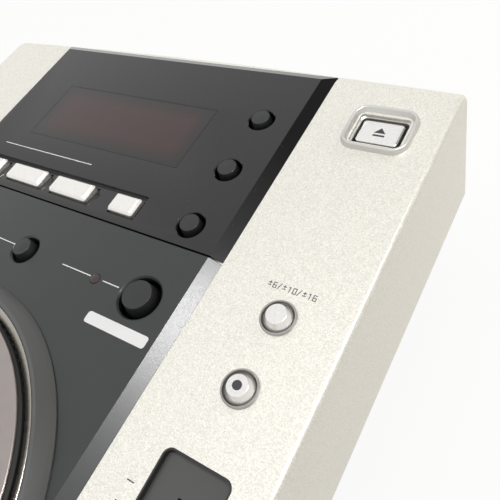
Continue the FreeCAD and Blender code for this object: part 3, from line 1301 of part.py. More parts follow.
NODES = {
    "top_shell": make_top_shell(),
    "slot_bezel": make_slot_bezel(),
    "base_case": make_base_case(),
    "feet": make_feet(),
    "case_screws": make_case_screws(),
    "display_panel": make_display_panel(),
    "display_window": make_display_window(),
    "display_module": make_display_module(),
    "jog_panel": make_jog_panel(),
    "loop_light": make_loop_light(),
    "jog_surround": make_jog_surround(),
    "jog_trim_ring": make_jog_trim(),
    "jog_well": group(make_jog_well(), make_jog_bush()),
    "jog_wheel": make_jog_wheel(),
    "jog_plate": make_jog_plate(),
    "jog_shaft": group(make_jog_shaft(), make_encoder_disc()),
    "eject_bezel": make_eject_bezel(),
    "eject_button": make_eject_button(),
    "key_rings": group(key_rings([(COLUMN_X, v) for v in ROUND_KEY_V] + PAIR_PLACES,
                                 ROUND_KEY_R, ROUND_RING_R, ROUND_RING_H),
                       key_rings([(LEFT_X, CUE_V), (LEFT_X, PLAY_V)],
                                 PLAY_KEY_R, PLAY_RING_R, PLAY_RING_H)),
    "slider_plate": make_slider_plate(),
    "slider_unit": make_slider_unit(),
    "slider_knob": make_slider_knob(),
    "key_boards": make_key_boards(),
    "main_board": make_main_board(),
    "power_supply": make_power_supply(),
    "rear_sockets": group(*[make_jack(x) for x in JACK_X], make_control_jack()),
    "power_inlet": make_power_inlet(),
    "power_button": make_power_button(),
    "loader_chassis": group(make_loader_chassis(), make_dampers()),
    "loader_cover": make_loader_cover(),
    "clamp_arm": make_clamp_arm(),
    "clamper": make_clamper(),
    "drive_frame": group(make_drive_frame(), make_guide_rods()),
    "drive_motors": group(make_spindle_motor(), make_sled_motor()),
    "lead_screw": make_lead_screw(),
    "pickup_sled": make_pickup_sled(),
    "turntable": make_turntable(),
    "roller_arm": make_roller_arm(),
    "feed_roller": group(make_feed_roller(), make_roller_shaft()),
    "loading_motor": make_loading_motor(),
    "display_text_button": side_key(SIDE_KEY_V[0]),
    "display_time_button": side_key(SIDE_KEY_V[1]),
    "auto_cue_button": side_key(SIDE_KEY_V[2]),
    "effect_button_1": bar_key(BAR_X[0], BAR_LONG),
    "effect_button_2": bar_key(BAR_X[1], BAR_LONG),
    "effect_button_3": bar_key(BAR_X[2], BAR_LONG),
    "effect_hold_button": bar_key(BAR_HOLD_X, BAR_SHORT),
    "loop_in_button": loop_key(LOOP_IN_X),
    "loop_out_button": loop_key(LOOP_OUT_X),
    "beat_loop_button": loop_key(BEAT_LOOP_X),
    "reloop_button": round_key(RELOOP_X, LOOP_V, LOOP_SMALL_R, LOOP_SMALL_HOLE_R, LOOP_TOP, 0.0),
    "tempo_range_button": small_key(COLUMN_X, ROUND_KEY_V[0]),
    "key_lock_button": small_key(COLUMN_X, ROUND_KEY_V[1]),
    "track_back_button": small_key(*PAIR_PLACES[0]),
    "track_next_button": small_key(*PAIR_PLACES[1]),
    "search_back_button": small_key(*PAIR_PLACES[2]),
    "search_next_button": small_key(*PAIR_PLACES[3]),
    "cue_button": large_key(CUE_V),
    "play_button": large_key(PLAY_V),
}

for node, shape in NODES.items():
    shape.exportStep("parts/" + node + ".step")
    low, high = shape.BoundBox.ZMin, shape.BoundBox.ZMax
    print(node, len(shape.Solids), "solids", shape.isValid(), round(shape.Volume), round(low, 1), round(high, 1))
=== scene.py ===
"""The looks of a tabletop disc player with a jog dial, on a plain studio floor.

Sizes are millimetres in the deck's own frame: x to the right, v forward from the rear top edge
along the slope, h out of the deck. Deck turns them into metres in the player's frame.
"""
import json
import logging
import math
from dataclasses import dataclass
from enum import Enum

import bmesh
import bpy
from mathutils import Matrix, Vector


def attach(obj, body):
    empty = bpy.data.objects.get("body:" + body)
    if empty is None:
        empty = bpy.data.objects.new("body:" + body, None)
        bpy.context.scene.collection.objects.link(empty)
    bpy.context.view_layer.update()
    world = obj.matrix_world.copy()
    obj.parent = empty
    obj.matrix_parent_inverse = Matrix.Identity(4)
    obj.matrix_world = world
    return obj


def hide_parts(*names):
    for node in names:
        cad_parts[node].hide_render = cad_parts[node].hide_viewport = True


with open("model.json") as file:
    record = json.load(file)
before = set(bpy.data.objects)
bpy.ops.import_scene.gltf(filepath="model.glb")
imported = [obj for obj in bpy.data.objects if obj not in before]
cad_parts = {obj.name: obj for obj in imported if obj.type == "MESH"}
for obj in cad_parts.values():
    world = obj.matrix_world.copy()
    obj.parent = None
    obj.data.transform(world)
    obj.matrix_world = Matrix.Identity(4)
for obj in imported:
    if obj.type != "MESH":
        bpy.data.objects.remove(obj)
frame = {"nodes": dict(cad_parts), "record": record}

MM = 0.001
IMAGE_SIDE = 500
LAMP_TARGET_H = 0.08
log = logging.getLogger("player")


@dataclass(frozen=True)
class Deck:
    """The sloping top of the case, from which most pieces are drawn."""

    tilt: float = math.radians(5.0)
    rear_y: float = 125.0
    rear_z: float = 104.0

    def matrix(self) -> Matrix:
        """The step from deck millimetres (x, -v, h) to metres in the player's frame."""
        place = Matrix.Translation(Vector((0.0, self.rear_y, self.rear_z)) * MM)
        return place @ Matrix.Rotation(self.tilt, 4, "X") @ Matrix.Scale(MM, 4)

    def point(self, x: float, v: float, h: float) -> Vector:
        """A deck place in metres in the player's frame."""
        return self.matrix() @ Vector((x, -v, h))

    def direction(self, x: float, y: float, n: float) -> Vector:
        """A direction on the deck, turned into the player's frame."""
        return (Matrix.Rotation(self.tilt, 3, "X") @ Vector((x, y, n))).normalized()


DECK = Deck()


class Wire:
    """A node's output. Arithmetic on it adds Math nodes to its tree."""

    def __init__(self, tree: "Tree", socket: bpy.types.NodeSocket) -> None:
        """Remember the tree and the socket."""
        self.tree = tree
        self.socket = socket

    def __getitem__(self, name: str) -> "Wire":
        """Another output of the same node."""
        return Wire(self.tree, find_socket(self.socket.node.outputs, name))

    def maths(self, operation: str, *values: object) -> "Wire":
        """A Math node on these values."""
        return self.tree.node("ShaderNodeMath", {"operation": operation}, dict(enumerate(values)))

    def __add__(self, other: object) -> "Wire":
        """Sum."""
        return self.maths("ADD", self, other)

    def __radd__(self, other: object) -> "Wire":
        """Sum, with the number first."""
        return self.maths("ADD", other, self)

    def __sub__(self, other: object) -> "Wire":
        """Difference."""
        return self.maths("SUBTRACT", self, other)

    def __rsub__(self, other: object) -> "Wire":
        """Difference, with the number first."""
        return self.maths("SUBTRACT", other, self)

    def __mul__(self, other: object) -> "Wire":
        """Product."""
        return self.maths("MULTIPLY", self, other)

    def __rmul__(self, other: object) -> "Wire":
        """Product, with the number first."""
        return self.maths("MULTIPLY", other, self)

    def __truediv__(self, other: object) -> "Wire":
        """Quotient."""
        return self.maths("DIVIDE", self, other)

    def __gt__(self, other: object) -> "Wire":
        """One where this is the greater, else zero."""
        return self.maths("GREATER_THAN", self, other)

    def size(self) -> "Wire":
        """The value without its sign."""
        return self.maths("ABSOLUTE", self)

    def clamped(self) -> "Wire":
        """Held between zero and one."""
        return self.maths("MINIMUM", self.maths("MAXIMUM", self, 0.0), 1.0)


def find_socket(sockets: bpy.types.bpy_prop_collection, key: str | int) -> bpy.types.NodeSocket:
    """The socket with this index, identifier or name.

    Args:
        sockets: a node's inputs or outputs.
        key: the index, identifier or name looked for.

    Returns:
        The socket.
    """
    if isinstance(key, int):
        return sockets[key]
    for socket in sockets:
        if socket.identifier == key:
            return socket
    return next(s for s in sockets if s.name == key and s.enabled)


class Tree:
    """A node tree that is filled through one method."""

    def __init__(self, tree: bpy.types.NodeTree) -> None:
        """Start from an empty tree."""
        self.tree = tree
        self.tree.nodes.clear()

    def node(self, kind: str, settings: dict[str, object] | None = None,
             inputs: dict[str | int, object] | None = None) -> Wire:
        """Add a node.

        Args:
            kind: the node's type.
            settings: properties that are set first.
            inputs: a value or a Wire for each socket.

        Returns:
            The node's first enabled output, or its last socket if it has none.
        """
        node = self.tree.nodes.new(kind)
        for name, value in (settings or {}).items():
            setattr(node, name, value)
        for key, value in (inputs or {}).items():
            socket = find_socket(node.inputs, key)
            if isinstance(value, Wire):
                self.tree.links.new(value.socket, socket)
            else:
                socket.default_value = value
        outputs = [s for s in node.outputs if s.enabled]
        return Wire(self, outputs[0] if outputs else node.inputs[0])


class Paint(Tree):
    """A material's node tree, with the few patterns that the finishes share."""

    def __init__(self, name: str) -> None:
        """Make the material and its tree."""
        self.material = bpy.data.materials.new(name)
        self.material.use_nodes = True
        super().__init__(self.material.node_tree)
        self.place = self.node("ShaderNodeTexCoord")["Object"]

    def noise(self, size_mm: float, detail: float = 2.0, rough: float = 0.5) -> Wire:
        """A soft noise from 0 to 1 whose blobs are about this size."""
        values = {"Vector": self.place, "Scale": 1.0 / (size_mm * MM), "Detail": detail,
                  "Roughness": rough}
        return self.node("ShaderNodeTexNoise", None, values)["Fac"]

    def stretched_noise(self, scale: tuple[float, float, float]) -> Wire:
        """A noise drawn out along an axis, with a scale per metre for each axis."""
        turned = self.node("ShaderNodeMapping", None, {"Vector": self.place, "Scale": scale})
        return self.node("ShaderNodeTexNoise", None, {"Vector": turned, "Scale": 1.0, "Detail": 3.0})["Fac"]

    def flakes(self, size_mm: float) -> Wire:
        """A random level from 0 to 1 for each small cell."""
        cells = self.node("ShaderNodeTexVoronoi", None,
                          {"Vector": self.place, "Scale": 1.0 / (size_mm * MM)})
        parts = self.node("ShaderNodeSeparateColor", None, {"Color": cells["Color"]})
        return parts["Red"]

    def along(self, axis: str) -> Wire:
        """One coordinate of the place, in metres."""
        return self.node("ShaderNodeSeparateXYZ", None, {"Vector": self.place})[axis]

    def blend(self, factor: Wire, first: tuple[float, ...], second: tuple[float, ...]) -> Wire:
        """A colour between two, by a factor."""
        values = {"Factor_Float": factor, "A_Color": (*first, 1.0), "B_Color": (*second, 1.0)}
        return self.node("ShaderNodeMix", {"data_type": "RGBA"}, values)["Result_Color"]

    def bump(self, height: Wire, depth_mm: float) -> Wire:
        """A bumped normal from a height of 0 to 1."""
        values = {"Height": height, "Distance": depth_mm * MM, "Strength": 1.0}
        return self.node("ShaderNodeBump", None, values)["Normal"]

    def finish(self, **values: object) -> bpy.types.Material:
        """Close the tree with a Principled shader.

        Args:
            values: the shader's inputs, with _ in their names for spaces.

        Returns:
            The finished material.
        """
        inputs = {name.replace("_", " "): value for name, value in values.items()}
        shader = self.node("ShaderNodeBsdfPrincipled", None, inputs)
        self.node("ShaderNodeOutputMaterial", None, {"Surface": shader})
        return self.material


@dataclass(frozen=True)
class Flake:
    """Pale metallic paint with a fine flake in it."""

    name: str = "pale_flake_paint"
    colour: tuple[float, float, float] = (0.66, 0.64, 0.575)
    glint: tuple[float, float, float] = (0.93, 0.91, 0.84)
    flake_mm: float = 0.26
    metallic: float = 0.25
    roughness: float = 0.42

    def make(self) -> bpy.types.Material:
        """Build the material."""
        paint = Paint(self.name)
        flakes = paint.flakes(self.flake_mm)
        cloud = paint.noise(1.3, 3.0, 0.7)
        colour = paint.blend((flakes * 0.8 + cloud * 0.2), self.colour, self.glint)
        rough = self.roughness - 0.10 + flakes * 0.16
        normal = paint.bump(flakes * 0.8 + cloud * 0.2, 0.006)
        return paint.finish(Base_Color=colour, Roughness=rough, Metallic=self.metallic, Normal=normal)


@dataclass(frozen=True)
class Gloss:
    """A polished dark plastic or a smoked window."""

    name: str
    colour: tuple[float, float, float] = (0.014, 0.014, 0.014)
    roughness: float = 0.05
    ior: float = 1.5

    def make(self) -> bpy.types.Material:
        """Build the material."""
        paint = Paint(self.name)
        haze = paint.noise(9.0, 4.0, 0.6)
        dust = paint.flakes(0.22) > 0.9985
        colour = paint.blend(dust * 0.1, self.colour, (0.5, 0.5, 0.5))
        return paint.finish(Base_Color=colour, Roughness=self.roughness + haze * 0.03, IOR=self.ior)


@dataclass(frozen=True)
class Smoked:
    """A dark lens in a dark panel, redder in the middle and fading out towards its edges."""

    name: str = "smoked_window"
    rim: tuple[float, float, float] = (0.014, 0.014, 0.014)
    middle: tuple[float, float, float] = (0.045, 0.021, 0.020)
    half: tuple[float, float] = (0.0385, 0.0139)
    centre: tuple[float, float] = (-0.0075, 0.0872)
    fade: float = 0.007

    def make(self) -> bpy.types.Material:
        """Build the material."""
        paint = Paint(self.name)
        across = ((self.half[0] - (paint.along("X") - self.centre[0]).size()) / self.fade).clamped()
        along = ((self.half[1] - (paint.along("Y") - self.centre[1]).size()) / self.fade).clamped()
        haze = paint.noise(14.0, 3.0, 0.6)
        colour = paint.blend(across * along * (0.8 + haze * 0.4), self.rim, self.middle)
        return paint.finish(Base_Color=colour, Roughness=0.05 + haze * 0.03)


@dataclass(frozen=True)
class Grained:
    """A moulded plastic with a fine grain."""

    name: str
    colour: tuple[float, float, float]
    roughness: float = 0.5
    grain_mm: float = 0.5
    depth_mm: float = 0.02
    mottle: float = 0.18

    def make(self) -> bpy.types.Material:
        """Build the material."""
        paint = Paint(self.name)
        grain = paint.noise(self.grain_mm, 3.0, 0.65)
        cloud = paint.noise(self.grain_mm * 12, 3.0)
        darker = tuple(c * (1 - self.mottle) for c in self.colour)
        lighter = tuple(c * (1 + self.mottle) for c in self.colour)
        colour = paint.blend((grain * 0.7 + cloud * 0.3), darker, lighter)
        rough = self.roughness - 0.08 + grain * 0.14
        return paint.finish(Base_Color=colour, Roughness=rough, Normal=paint.bump(grain, self.depth_mm))


@dataclass(frozen=True)
class Metal:
    """A metal or metallic coat with a fine brushed or spun grain."""

    name: str
    colour: tuple[float, float, float]
    roughness: float = 0.28
    metallic: float = 1.0
    grain: tuple[float, float, float] = (300.0, 4000.0, 4000.0)

    def make(self) -> bpy.types.Material:
        """Build the material."""
        paint = Paint(self.name)
        lines = paint.stretched_noise(self.grain)
        duller = tuple(c * 0.88 for c in self.colour)
        colour = paint.blend(lines, duller, self.colour)
        return paint.finish(Base_Color=colour, Metallic=self.metallic,
                            Roughness=self.roughness - 0.05 + lines * 0.12,
                            Normal=paint.bump(lines, 0.003))


@dataclass(frozen=True)
class Board:
    """A green circuit board with darker tracks."""

    name: str = "circuit_board"

    def make(self) -> bpy.types.Material:
        """Build the material."""
        paint = Paint(self.name)
        tracks = paint.stretched_noise((220.0, 900.0, 220.0)) > 0.54
        colour = paint.blend(tracks, (0.012, 0.075, 0.03), (0.02, 0.12, 0.05))
        return paint.finish(Base_Color=colour, Roughness=0.35 + tracks * 0.12,
                            Normal=paint.bump(tracks, 0.03))


@dataclass(frozen=True)
class Ink:
    """Screen-printed ink, slightly uneven in its cover."""

    name: str
    colour: tuple[float, float, float]

    def make(self) -> bpy.types.Material:
        """Build the material."""
        paint = Paint(self.name)
        cover = paint.noise(0.25, 2.0)
        thin = tuple(c * 0.86 + 0.01 for c in self.colour)
        return paint.finish(Base_Color=paint.blend(cover, thin, self.colour),
                            Roughness=0.45 + cover * 0.1)


class Slot(Enum):
    """The material slots of the record, each with the finish it shows."""

    SILVER = ("silver", Flake())
    SILVER_KEY = ("silver_key", Metal("pale_key_metal", (0.88, 0.87, 0.85), 0.2, 0.9, (900.0, 900.0, 900.0)))
    FRAME = ("silver", Metal("satin_key_frame", (0.66, 0.65, 0.62), 0.36, 0.8, (900.0, 900.0, 900.0)))
    # Darker grey copy of the silver for the rings round the small keys: painted shade.
    KEY_RING = ("silver", Metal("grey_key_ring_painted_shade", (0.40, 0.39, 0.37), 0.34, 0.85, (900.0, 900.0, 900.0)))
    # Grey copy of the pale key metal for the silver keys' sloped sides: painted shade.
    CAP_SIDE_SHADE = ("silver_key", Metal("grey_cap_side_painted_shade", (0.42, 0.41, 0.39), 0.26, 0.9, (900.0, 900.0, 900.0)))
    TRIM = ("bright_trim", Metal("bright_trim_metal", (0.44, 0.42, 0.37), 0.28, 1.0, (900.0, 900.0, 900.0)))
    GLOSS = ("gloss_dark", Gloss("polished_dark_panel"))
    WINDOW = ("window", Smoked())
    MATT = ("matt_dark", Grained("grained_dark_panel", (0.029, 0.031, 0.031), 0.33, 0.45, 0.012))
    FLOOR = ("matt_dark", Grained("slider_floor_plastic", (0.060, 0.061, 0.058), 0.55, 0.5, 0.01, 0.06))
    # Darker copy of the slider tray's plastic for its walls and rim: painted shade.
    WALL = ("matt_dark", Grained("slider_wall_painted_shade", (0.016, 0.016, 0.015), 0.6, 0.5, 0.04, 0.3))
    SURROUND = ("surround", Grained("satin_grey_ring", (0.085, 0.086, 0.086), 0.42, 0.3, 0.004, 0.06))
    # Near-black copy of the ring plastic for the surround's foot, the wheel and its ribs: painted shade.
    RING_SIDE_SHADE = ("surround", Grained("ring_side_painted_shade", (0.006, 0.006, 0.006), 0.7, 0.4, 0.004, 0.1))
    # The plate's pinkish tint is a painted reflection of warm surroundings; its grey metal is its own.
    PLATE = ("surround", Metal("spun_jog_plate", (0.36, 0.32, 0.305), 0.32, 0.7, (260.0, 260.0, 260.0)))
    BLACK_KEY = ("black_key", Grained("black_key_plastic", (0.017, 0.018, 0.018), 0.36, 0.16, 0.003, 0.1))
    # Near-black copy of the black key plastic for the keys' sides: painted shade.
    KEY_SIDE_SHADE = ("black_key", Grained("black_key_side_painted_shade", (0.004, 0.004, 0.004), 0.6, 0.3, 0.003, 0.1))
    WHITE_KEY = ("white_key", Metal("pearl_bar_key", (0.93, 0.91, 0.87), 0.22, 0.75, (900.0, 900.0, 900.0)))
    # Dark grey copy of the pearl key metal for the bar keys' sloped sides: painted shade.
    WHITE_SIDE_SHADE = ("white_key", Metal("pearl_key_side_painted_shade", (0.34, 0.34, 0.33), 0.32, 0.8, (900.0, 900.0, 900.0)))
    WHITE_INK = ("white_key", Ink("white_print", (0.86, 0.86, 0.85)))
    DARK_INK = ("black_key", Ink("dark_print", (0.03, 0.03, 0.035)))
    CASE = ("case_dark", Grained("grained_case_plastic", (0.022, 0.022, 0.023), 0.55, 0.8, 0.03))
    RUBBER = ("rubber", Grained("foot_rubber", (0.018, 0.018, 0.018), 0.75, 0.6, 0.03))
    STEEL = ("steel", Metal("plated_steel", (0.56, 0.56, 0.55)))
    BOARD = ("board", Board())
    MOULDING = ("moulding", Grained("black_moulding", (0.03, 0.03, 0.032), 0.5, 0.7, 0.015))
    SOCKET = ("socket", Grained("socket_moulding", (0.035, 0.035, 0.037), 0.4, 0.5, 0.01))
    LENS = ("window", Gloss("light_lens", (0.045, 0.03, 0.028), 0.12))
    BRASS = ("steel", Metal("gilt_contact", (0.72, 0.52, 0.22), 0.22))

    def __init__(self, slot: str, finish: object) -> None:
        """Split the pair into its parts."""
        self.slot = slot
        self.finish = finish

    def material(self) -> bpy.types.Material:
        """The finish's material, made once."""
        known = bpy.data.materials.get(self.finish.name)
        return known or self.finish.make()


class Form:
    """A mesh in millimetres, grown from closed loops of points."""

    def __init__(self, *slots: Slot) -> None:
        """Start empty, with the finishes that its faces may have."""
        self.slots = slots
        self.bm = bmesh.new()

    def faces(self, loops: list[list[Vector]], slot: int = 0, low: bool = True, high: bool = True) -> None:
        """Join loops of equal length into a skin.

        Args:
            loops: closed loops of points, from one end of the skin to the other.
            slot: the index of the faces' finish.
            low: whether the first loop is closed by a face.
            high: whether the last loop is closed by a face.
        """
        rings = [[self.bm.verts.new(p) for p in loop] for loop in loops]
        made = []
        for first, second in zip(rings, rings[1:]):
            count = len(first)
            for i in range(count):
                j = (i + 1) % count
                made.append(self.bm.faces.new((first[i], first[j], second[j], second[i])))
        if low:
            made.append(self.bm.faces.new(list(reversed(rings[0]))))
        if high:
            made.append(self.bm.faces.new(rings[-1]))
        for face in made:
            face.material_index = slot

    def lathe(self, x: float, v: float, profile: list[tuple[float, float]], sections: int = 72,
              slot: int = 0, closed: bool = False, low: bool = True, high: bool = True) -> None:
        """Turn a profile about an axis that stands on the deck.

        Args:
            x: the axis's place.
            v: the axis's place.
            profile: (radius, height) points, outer side upwards, or a closed round for a ring.
            sections: how many faces go round.
            slot: the index of the faces' finish.
            closed: whether the profile is a ring's section.
            low: whether the first end of an open profile is closed by a face.
            high: whether its last end is.
        """
        loops = [circle(x, -v, max(radius, 0.01), height, sections) for radius, height in profile]
        if closed:
            loops.append(loops[0])
        self.faces(loops, slot, low and not closed, high and not closed)

    def block(self, x: float, v: float, width: float, length: float, corner: float,
              profile: list[tuple[float, float]], slot: int = 0, low: bool = True, high: bool = True) -> None:
        """A rounded rectangle whose sides follow a profile, or a frame if the profile closes itself.

        Args:
            x: the middle's place.
            v: the middle's place.
            width: the size across.
            length: the size along the deck.
            corner: the corner's radius at no inset.
            profile: (inset, height) points from the bottom up.
            slot: the index of the faces' finish.
            low: whether the first end is closed by a face.
            high: whether the last end is.
        """
        self.faces([rounded(x, -v, width - 2 * inset, length - 2 * inset, corner - inset, height)
                    for inset, height in profile], slot, low, high)

    def plate(self, points: list[tuple[float, float]], low: float, high: float, slot: int = 0) -> None:
        """A flat piece with this outline of (x, v) points between two heights."""
        self.faces([[Vector((x, -v, h)) for x, v in points] for h in (low, high)], slot)

    def stroke(self, points: list[tuple[float, float]], width: float, low: float, high: float,
               slot: int = 0) -> None:
        """Straight runs of a line with this width, through (x, v) points."""
        for (x0, v0), (x1, v1) in zip(points, points[1:]):
            run = Vector((x1 - x0, v1 - v0)).normalized() * width / 2
            side = Vector((-run.y, run.x))
            a = Vector((x0, v0)) - run
            b = Vector((x1, v1)) + run
            corners = [a - side, b - side, b + side, a + side]
            self.plate([tuple(p) for p in corners], low, high, slot)

    def piece(self, name: str, body: str, angle: float = 32.0,
              nodes: tuple[str, ...] = ()) -> bpy.types.Object:
        """Turn the form into a finished piece of the player.

        Args:
            name: the piece's name.
            body: the body it rides on.
            angle: edges sharper than this, in degrees, stay crisp.
            nodes: the solids that it stands for.

        Returns:
            The object.
        """
        bmesh.ops.remove_doubles(self.bm, verts=self.bm.verts, dist=1e-4)
        bmesh.ops.recalc_face_normals(self.bm, faces=self.bm.faces)
        mesh = bpy.data.meshes.new(name)
        self.bm.to_mesh(mesh)
        self.bm.free()
        mesh.transform(DECK.matrix())
        return dress(link(name, mesh), body, self.slots, angle, nodes)


def circle(x: float, y: float, radius: float, z: float, sections: int) -> list[Vector]:
    """Points round an upright axis, anticlockwise."""
    steps = [2 * math.pi * i / sections for i in range(sections)]
    return [Vector((x + radius * math.cos(a), y + radius * math.sin(a), z)) for a in steps]


def rounded(x: float, y: float, width: float, length: float, corner: float, z: float,
            steps: int = 5) -> list[Vector]:
    """Points round a rectangle with rounded corners, anticlockwise."""
    corner = max(min(corner, width / 2, length / 2), 0.02)
    points = []
    for quarter, (sx, sy) in enumerate(((1, 1), (-1, 1), (-1, -1), (1, -1))):
        cx = x + sx * (width / 2 - corner)
        cy = y + sy * (length / 2 - corner)
        for i in range(steps + 1):
            a = math.pi / 2 * (quarter + i / steps)
            points.append(Vector((cx + corner * math.cos(a), cy + corner * math.sin(a), z)))
    return points


def eased(points: list[tuple[float, float]], radius: float, steps: int = 3) -> list[tuple[float, float]]:
    """A profile with its inner points rounded off.

    Args:
        points: (inset or radius, height) points.
        radius: how far the round reaches from each corner, at most.
        steps: how many runs each round has.

    Returns:
        The rounded profile.
    """
    made = [points[0]]
    for before, corner, after in zip(points, points[1:], points[2:]):
        p, q, r = Vector(before), Vector(corner), Vector(after)
        reach = min(radius, (p - q).length * 0.45, (r - q).length * 0.45)
        start = q + (p - q).normalized() * reach
        end = q + (r - q).normalized() * reach
        for i in range(steps + 1):
            t = i / steps
            made.append(tuple(start * (1 - t) ** 2 + q * 2 * t * (1 - t) + end * t ** 2))
    return made + [points[-1]]


def link(name: str, mesh: bpy.types.Mesh) -> bpy.types.Object:
    """An object with this mesh, in the scene."""
    thing = bpy.data.objects.new(name, mesh)
    bpy.context.scene.collection.objects.link(thing)
    return thing


def dress(thing: bpy.types.Object, body: str, slots: tuple[Slot, ...], angle: float = 32.0,
          nodes: tuple[str, ...] = ()) -> bpy.types.Object:
    """Give a piece its finishes, smooth shading and body.

    Args:
        thing: the piece.
        body: the body it rides on.
        slots: its finishes, the main one first.
        angle: edges sharper than this, in degrees, stay crisp.
        nodes: the solids that it stands for.

    Returns:
        The piece.
    """
    thing.data.materials.clear()
    for slot in slots:
        thing.data.materials.append(slot.material())
    thing.data.shade_smooth()
    thing.data.set_sharp_from_angle(angle=math.radians(angle))
    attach(thing, body)
    if nodes:
        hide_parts(*nodes)
    log.info("%s rides on %s with %d faces", thing.name, body, len(thing.data.polygons))
    return thing


def body_of(node: str) -> str:
    """The body that a solid's node belongs to."""
    groups = frame["record"]["behaviour"]["bodies"]
    return next(body for body, members in groups.items() if node in members)


def refined(node: str, name: str, slot: Slot, arris_mm: float = 0.0, angle: float = 32.0) -> bpy.types.Object:
    """A copy of a solid with merged faces, softened edges and smooth rounds.

    Args:
        node: the solid's node.
        name: the new piece's name.
        slot: its finish.
        arris_mm: the width of the softening on its sharp edges.
        angle: edges sharper than this, in degrees, stay crisp.

    Returns:
        The piece.
    """
    bm = bmesh.new()
    bm.from_mesh(frame["nodes"][node].data)
    bmesh.ops.remove_doubles(bm, verts=bm.verts, dist=2e-6)
    bmesh.ops.dissolve_limit(bm, angle_limit=math.radians(0.2), verts=bm.verts, edges=bm.edges)
    mesh = bpy.data.meshes.new(name)
    bm.to_mesh(mesh)
    bm.free()
    thing = dress(link(name, mesh), body_of(node), (slot,), angle, (node,))
    if arris_mm:
        soft = thing.modifiers.new("arris", "BEVEL")
        soft.width = arris_mm * MM
        soft.segments = 2
        soft.limit_method = "ANGLE"
        soft.angle_limit = math.radians(angle)
        soft.harden_normals = True
    else:
        weigh = thing.modifiers.new("even", "WEIGHTED_NORMAL")
        weigh.keep_sharp = True
    return thing


def recolour(thing: bpy.types.Object, slot: Slot, above: float) -> None:
    """Give a second finish, a painted shade, to the faces that reach above a height over the deck.

    Args:
        thing: the piece.
        slot: its second finish, a painted shade.
        above: the height, in millimetres.
    """
    thing.data.materials.append(slot.material())
    back = DECK.matrix().inverted()
    for face in thing.data.polygons:
        if max((back @ thing.data.vertices[i].co).z for i in face.vertices) > above:
            face.material_index = 1


class Growth(Tree):
    """A Geometry Nodes tree with named sizes, used once to make a plain mesh."""

    def __init__(self, name: str) -> None:
        """Make the tree with its output."""
        super().__init__(bpy.data.node_groups.new(name, "GeometryNodeTree"))
        self.name = name
        self.values: dict[str, object] = {}
        self.tree.interface.new_socket("Geometry", in_out="OUTPUT", socket_type="NodeSocketGeometry")
        self.source = self.tree.nodes.new("NodeGroupInput")

    def size(self, name: str, value: float | int | Vector) -> Wire:
        """A named input of the tree, with the value that this piece gives it."""
        kind = "NodeSocketFloat"
        if isinstance(value, int):
            kind = "NodeSocketInt"
        elif isinstance(value, (Vector, tuple)):
            kind = "NodeSocketVector"
        item = self.tree.interface.new_socket(name, in_out="INPUT", socket_type=kind)
        self.values[item.identifier] = value
        return Wire(self, find_socket(self.source.outputs, item.identifier))

    def piece(self, shape: Wire, body: str, slot: Slot) -> bpy.types.Object:
        """Realise the tree's instances, set their material and keep the result as a mesh.

        Args:
            shape: the geometry, in millimetres in the deck's frame.
            body: the body that the piece rides on.
            slot: its finish.

        Returns:
            The piece.
        """
        real = self.node("GeometryNodeRealizeInstances", None, {"Geometry": shape})
        coated = self.node("GeometryNodeSetMaterial", None,
                           {"Geometry": real, "Material": slot.material()})
        self.node("NodeGroupOutput", None, {0: coated})
        holder = link(self.name + "_tree", bpy.data.meshes.new(self.name + "_tree"))
        grower = holder.modifiers.new("grow", "NODES")
        grower.node_group = self.tree
        for identifier, value in self.values.items():
            grower[identifier] = value
        view = bpy.context.evaluated_depsgraph_get()
        mesh = bpy.data.meshes.new_from_object(holder.evaluated_get(view))
        holder.modifiers.remove(grower)
        bpy.data.objects.remove(holder)
        mesh.name = self.name
        mesh.transform(DECK.matrix())
        return dress(link(self.name, mesh), body, (slot,))


@dataclass
class CaseShell:
    """The pale shell, the dark lower case, its feet and screws, and the slot's insert."""

    case_arris: float = 0.4
    foot_arris: float = 0.6
    insert_arris: float = 0.3
    screw_arris: float = 0.15

    def build(self) -> None:
        """Make the pieces."""
        refined("top_shell", "pale_shell", Slot.SILVER)
        refined("base_case", "lower_case", Slot.CASE, self.case_arris)
        refined("feet", "rubber_feet", Slot.RUBBER, self.foot_arris)
        refined("slot_bezel", "slot_insert", Slot.MOULDING, self.insert_arris)
        refined("case_screws", "case_screw_set", Slot.STEEL, self.screw_arris)


@dataclass
class DisplayPanel:
    """The polished panel with its window."""

    arris: float = 0.16
    window_arris: float = 0.05

    def build(self) -> None:
        """Make the panel and the window."""
        refined("display_panel", "polished_panel", Slot.GLOSS, self.arris)
        refined("display_window", "smoked_display_window", Slot.WINDOW, self.window_arris)


@dataclass
class JogPanel:
    """The grained panel round the jog dial, and the light in it."""

    arris: float = 0.16
    light_x: float = 31.0
    light_v: float = 98.0
    light_r: float = 1.65
    light_top: float = 2.5

    def build(self) -> None:
        """Make the panel and the light."""
        refined("jog_panel", "grained_panel", Slot.MATT, self.arris)
        lens = Form(Slot.LENS)
        dome = [(self.light_r, -1.0), (self.light_r, 2.2), (self.light_r * 0.94, 2.34),
                (self.light_r * 0.7, self.light_top), (0.0, self.light_top + 0.1)]
        lens.lathe(self.light_x, self.light_v, dome, 32)
        lens.piece("loop_light_lens", "case", nodes=("loop_light",))


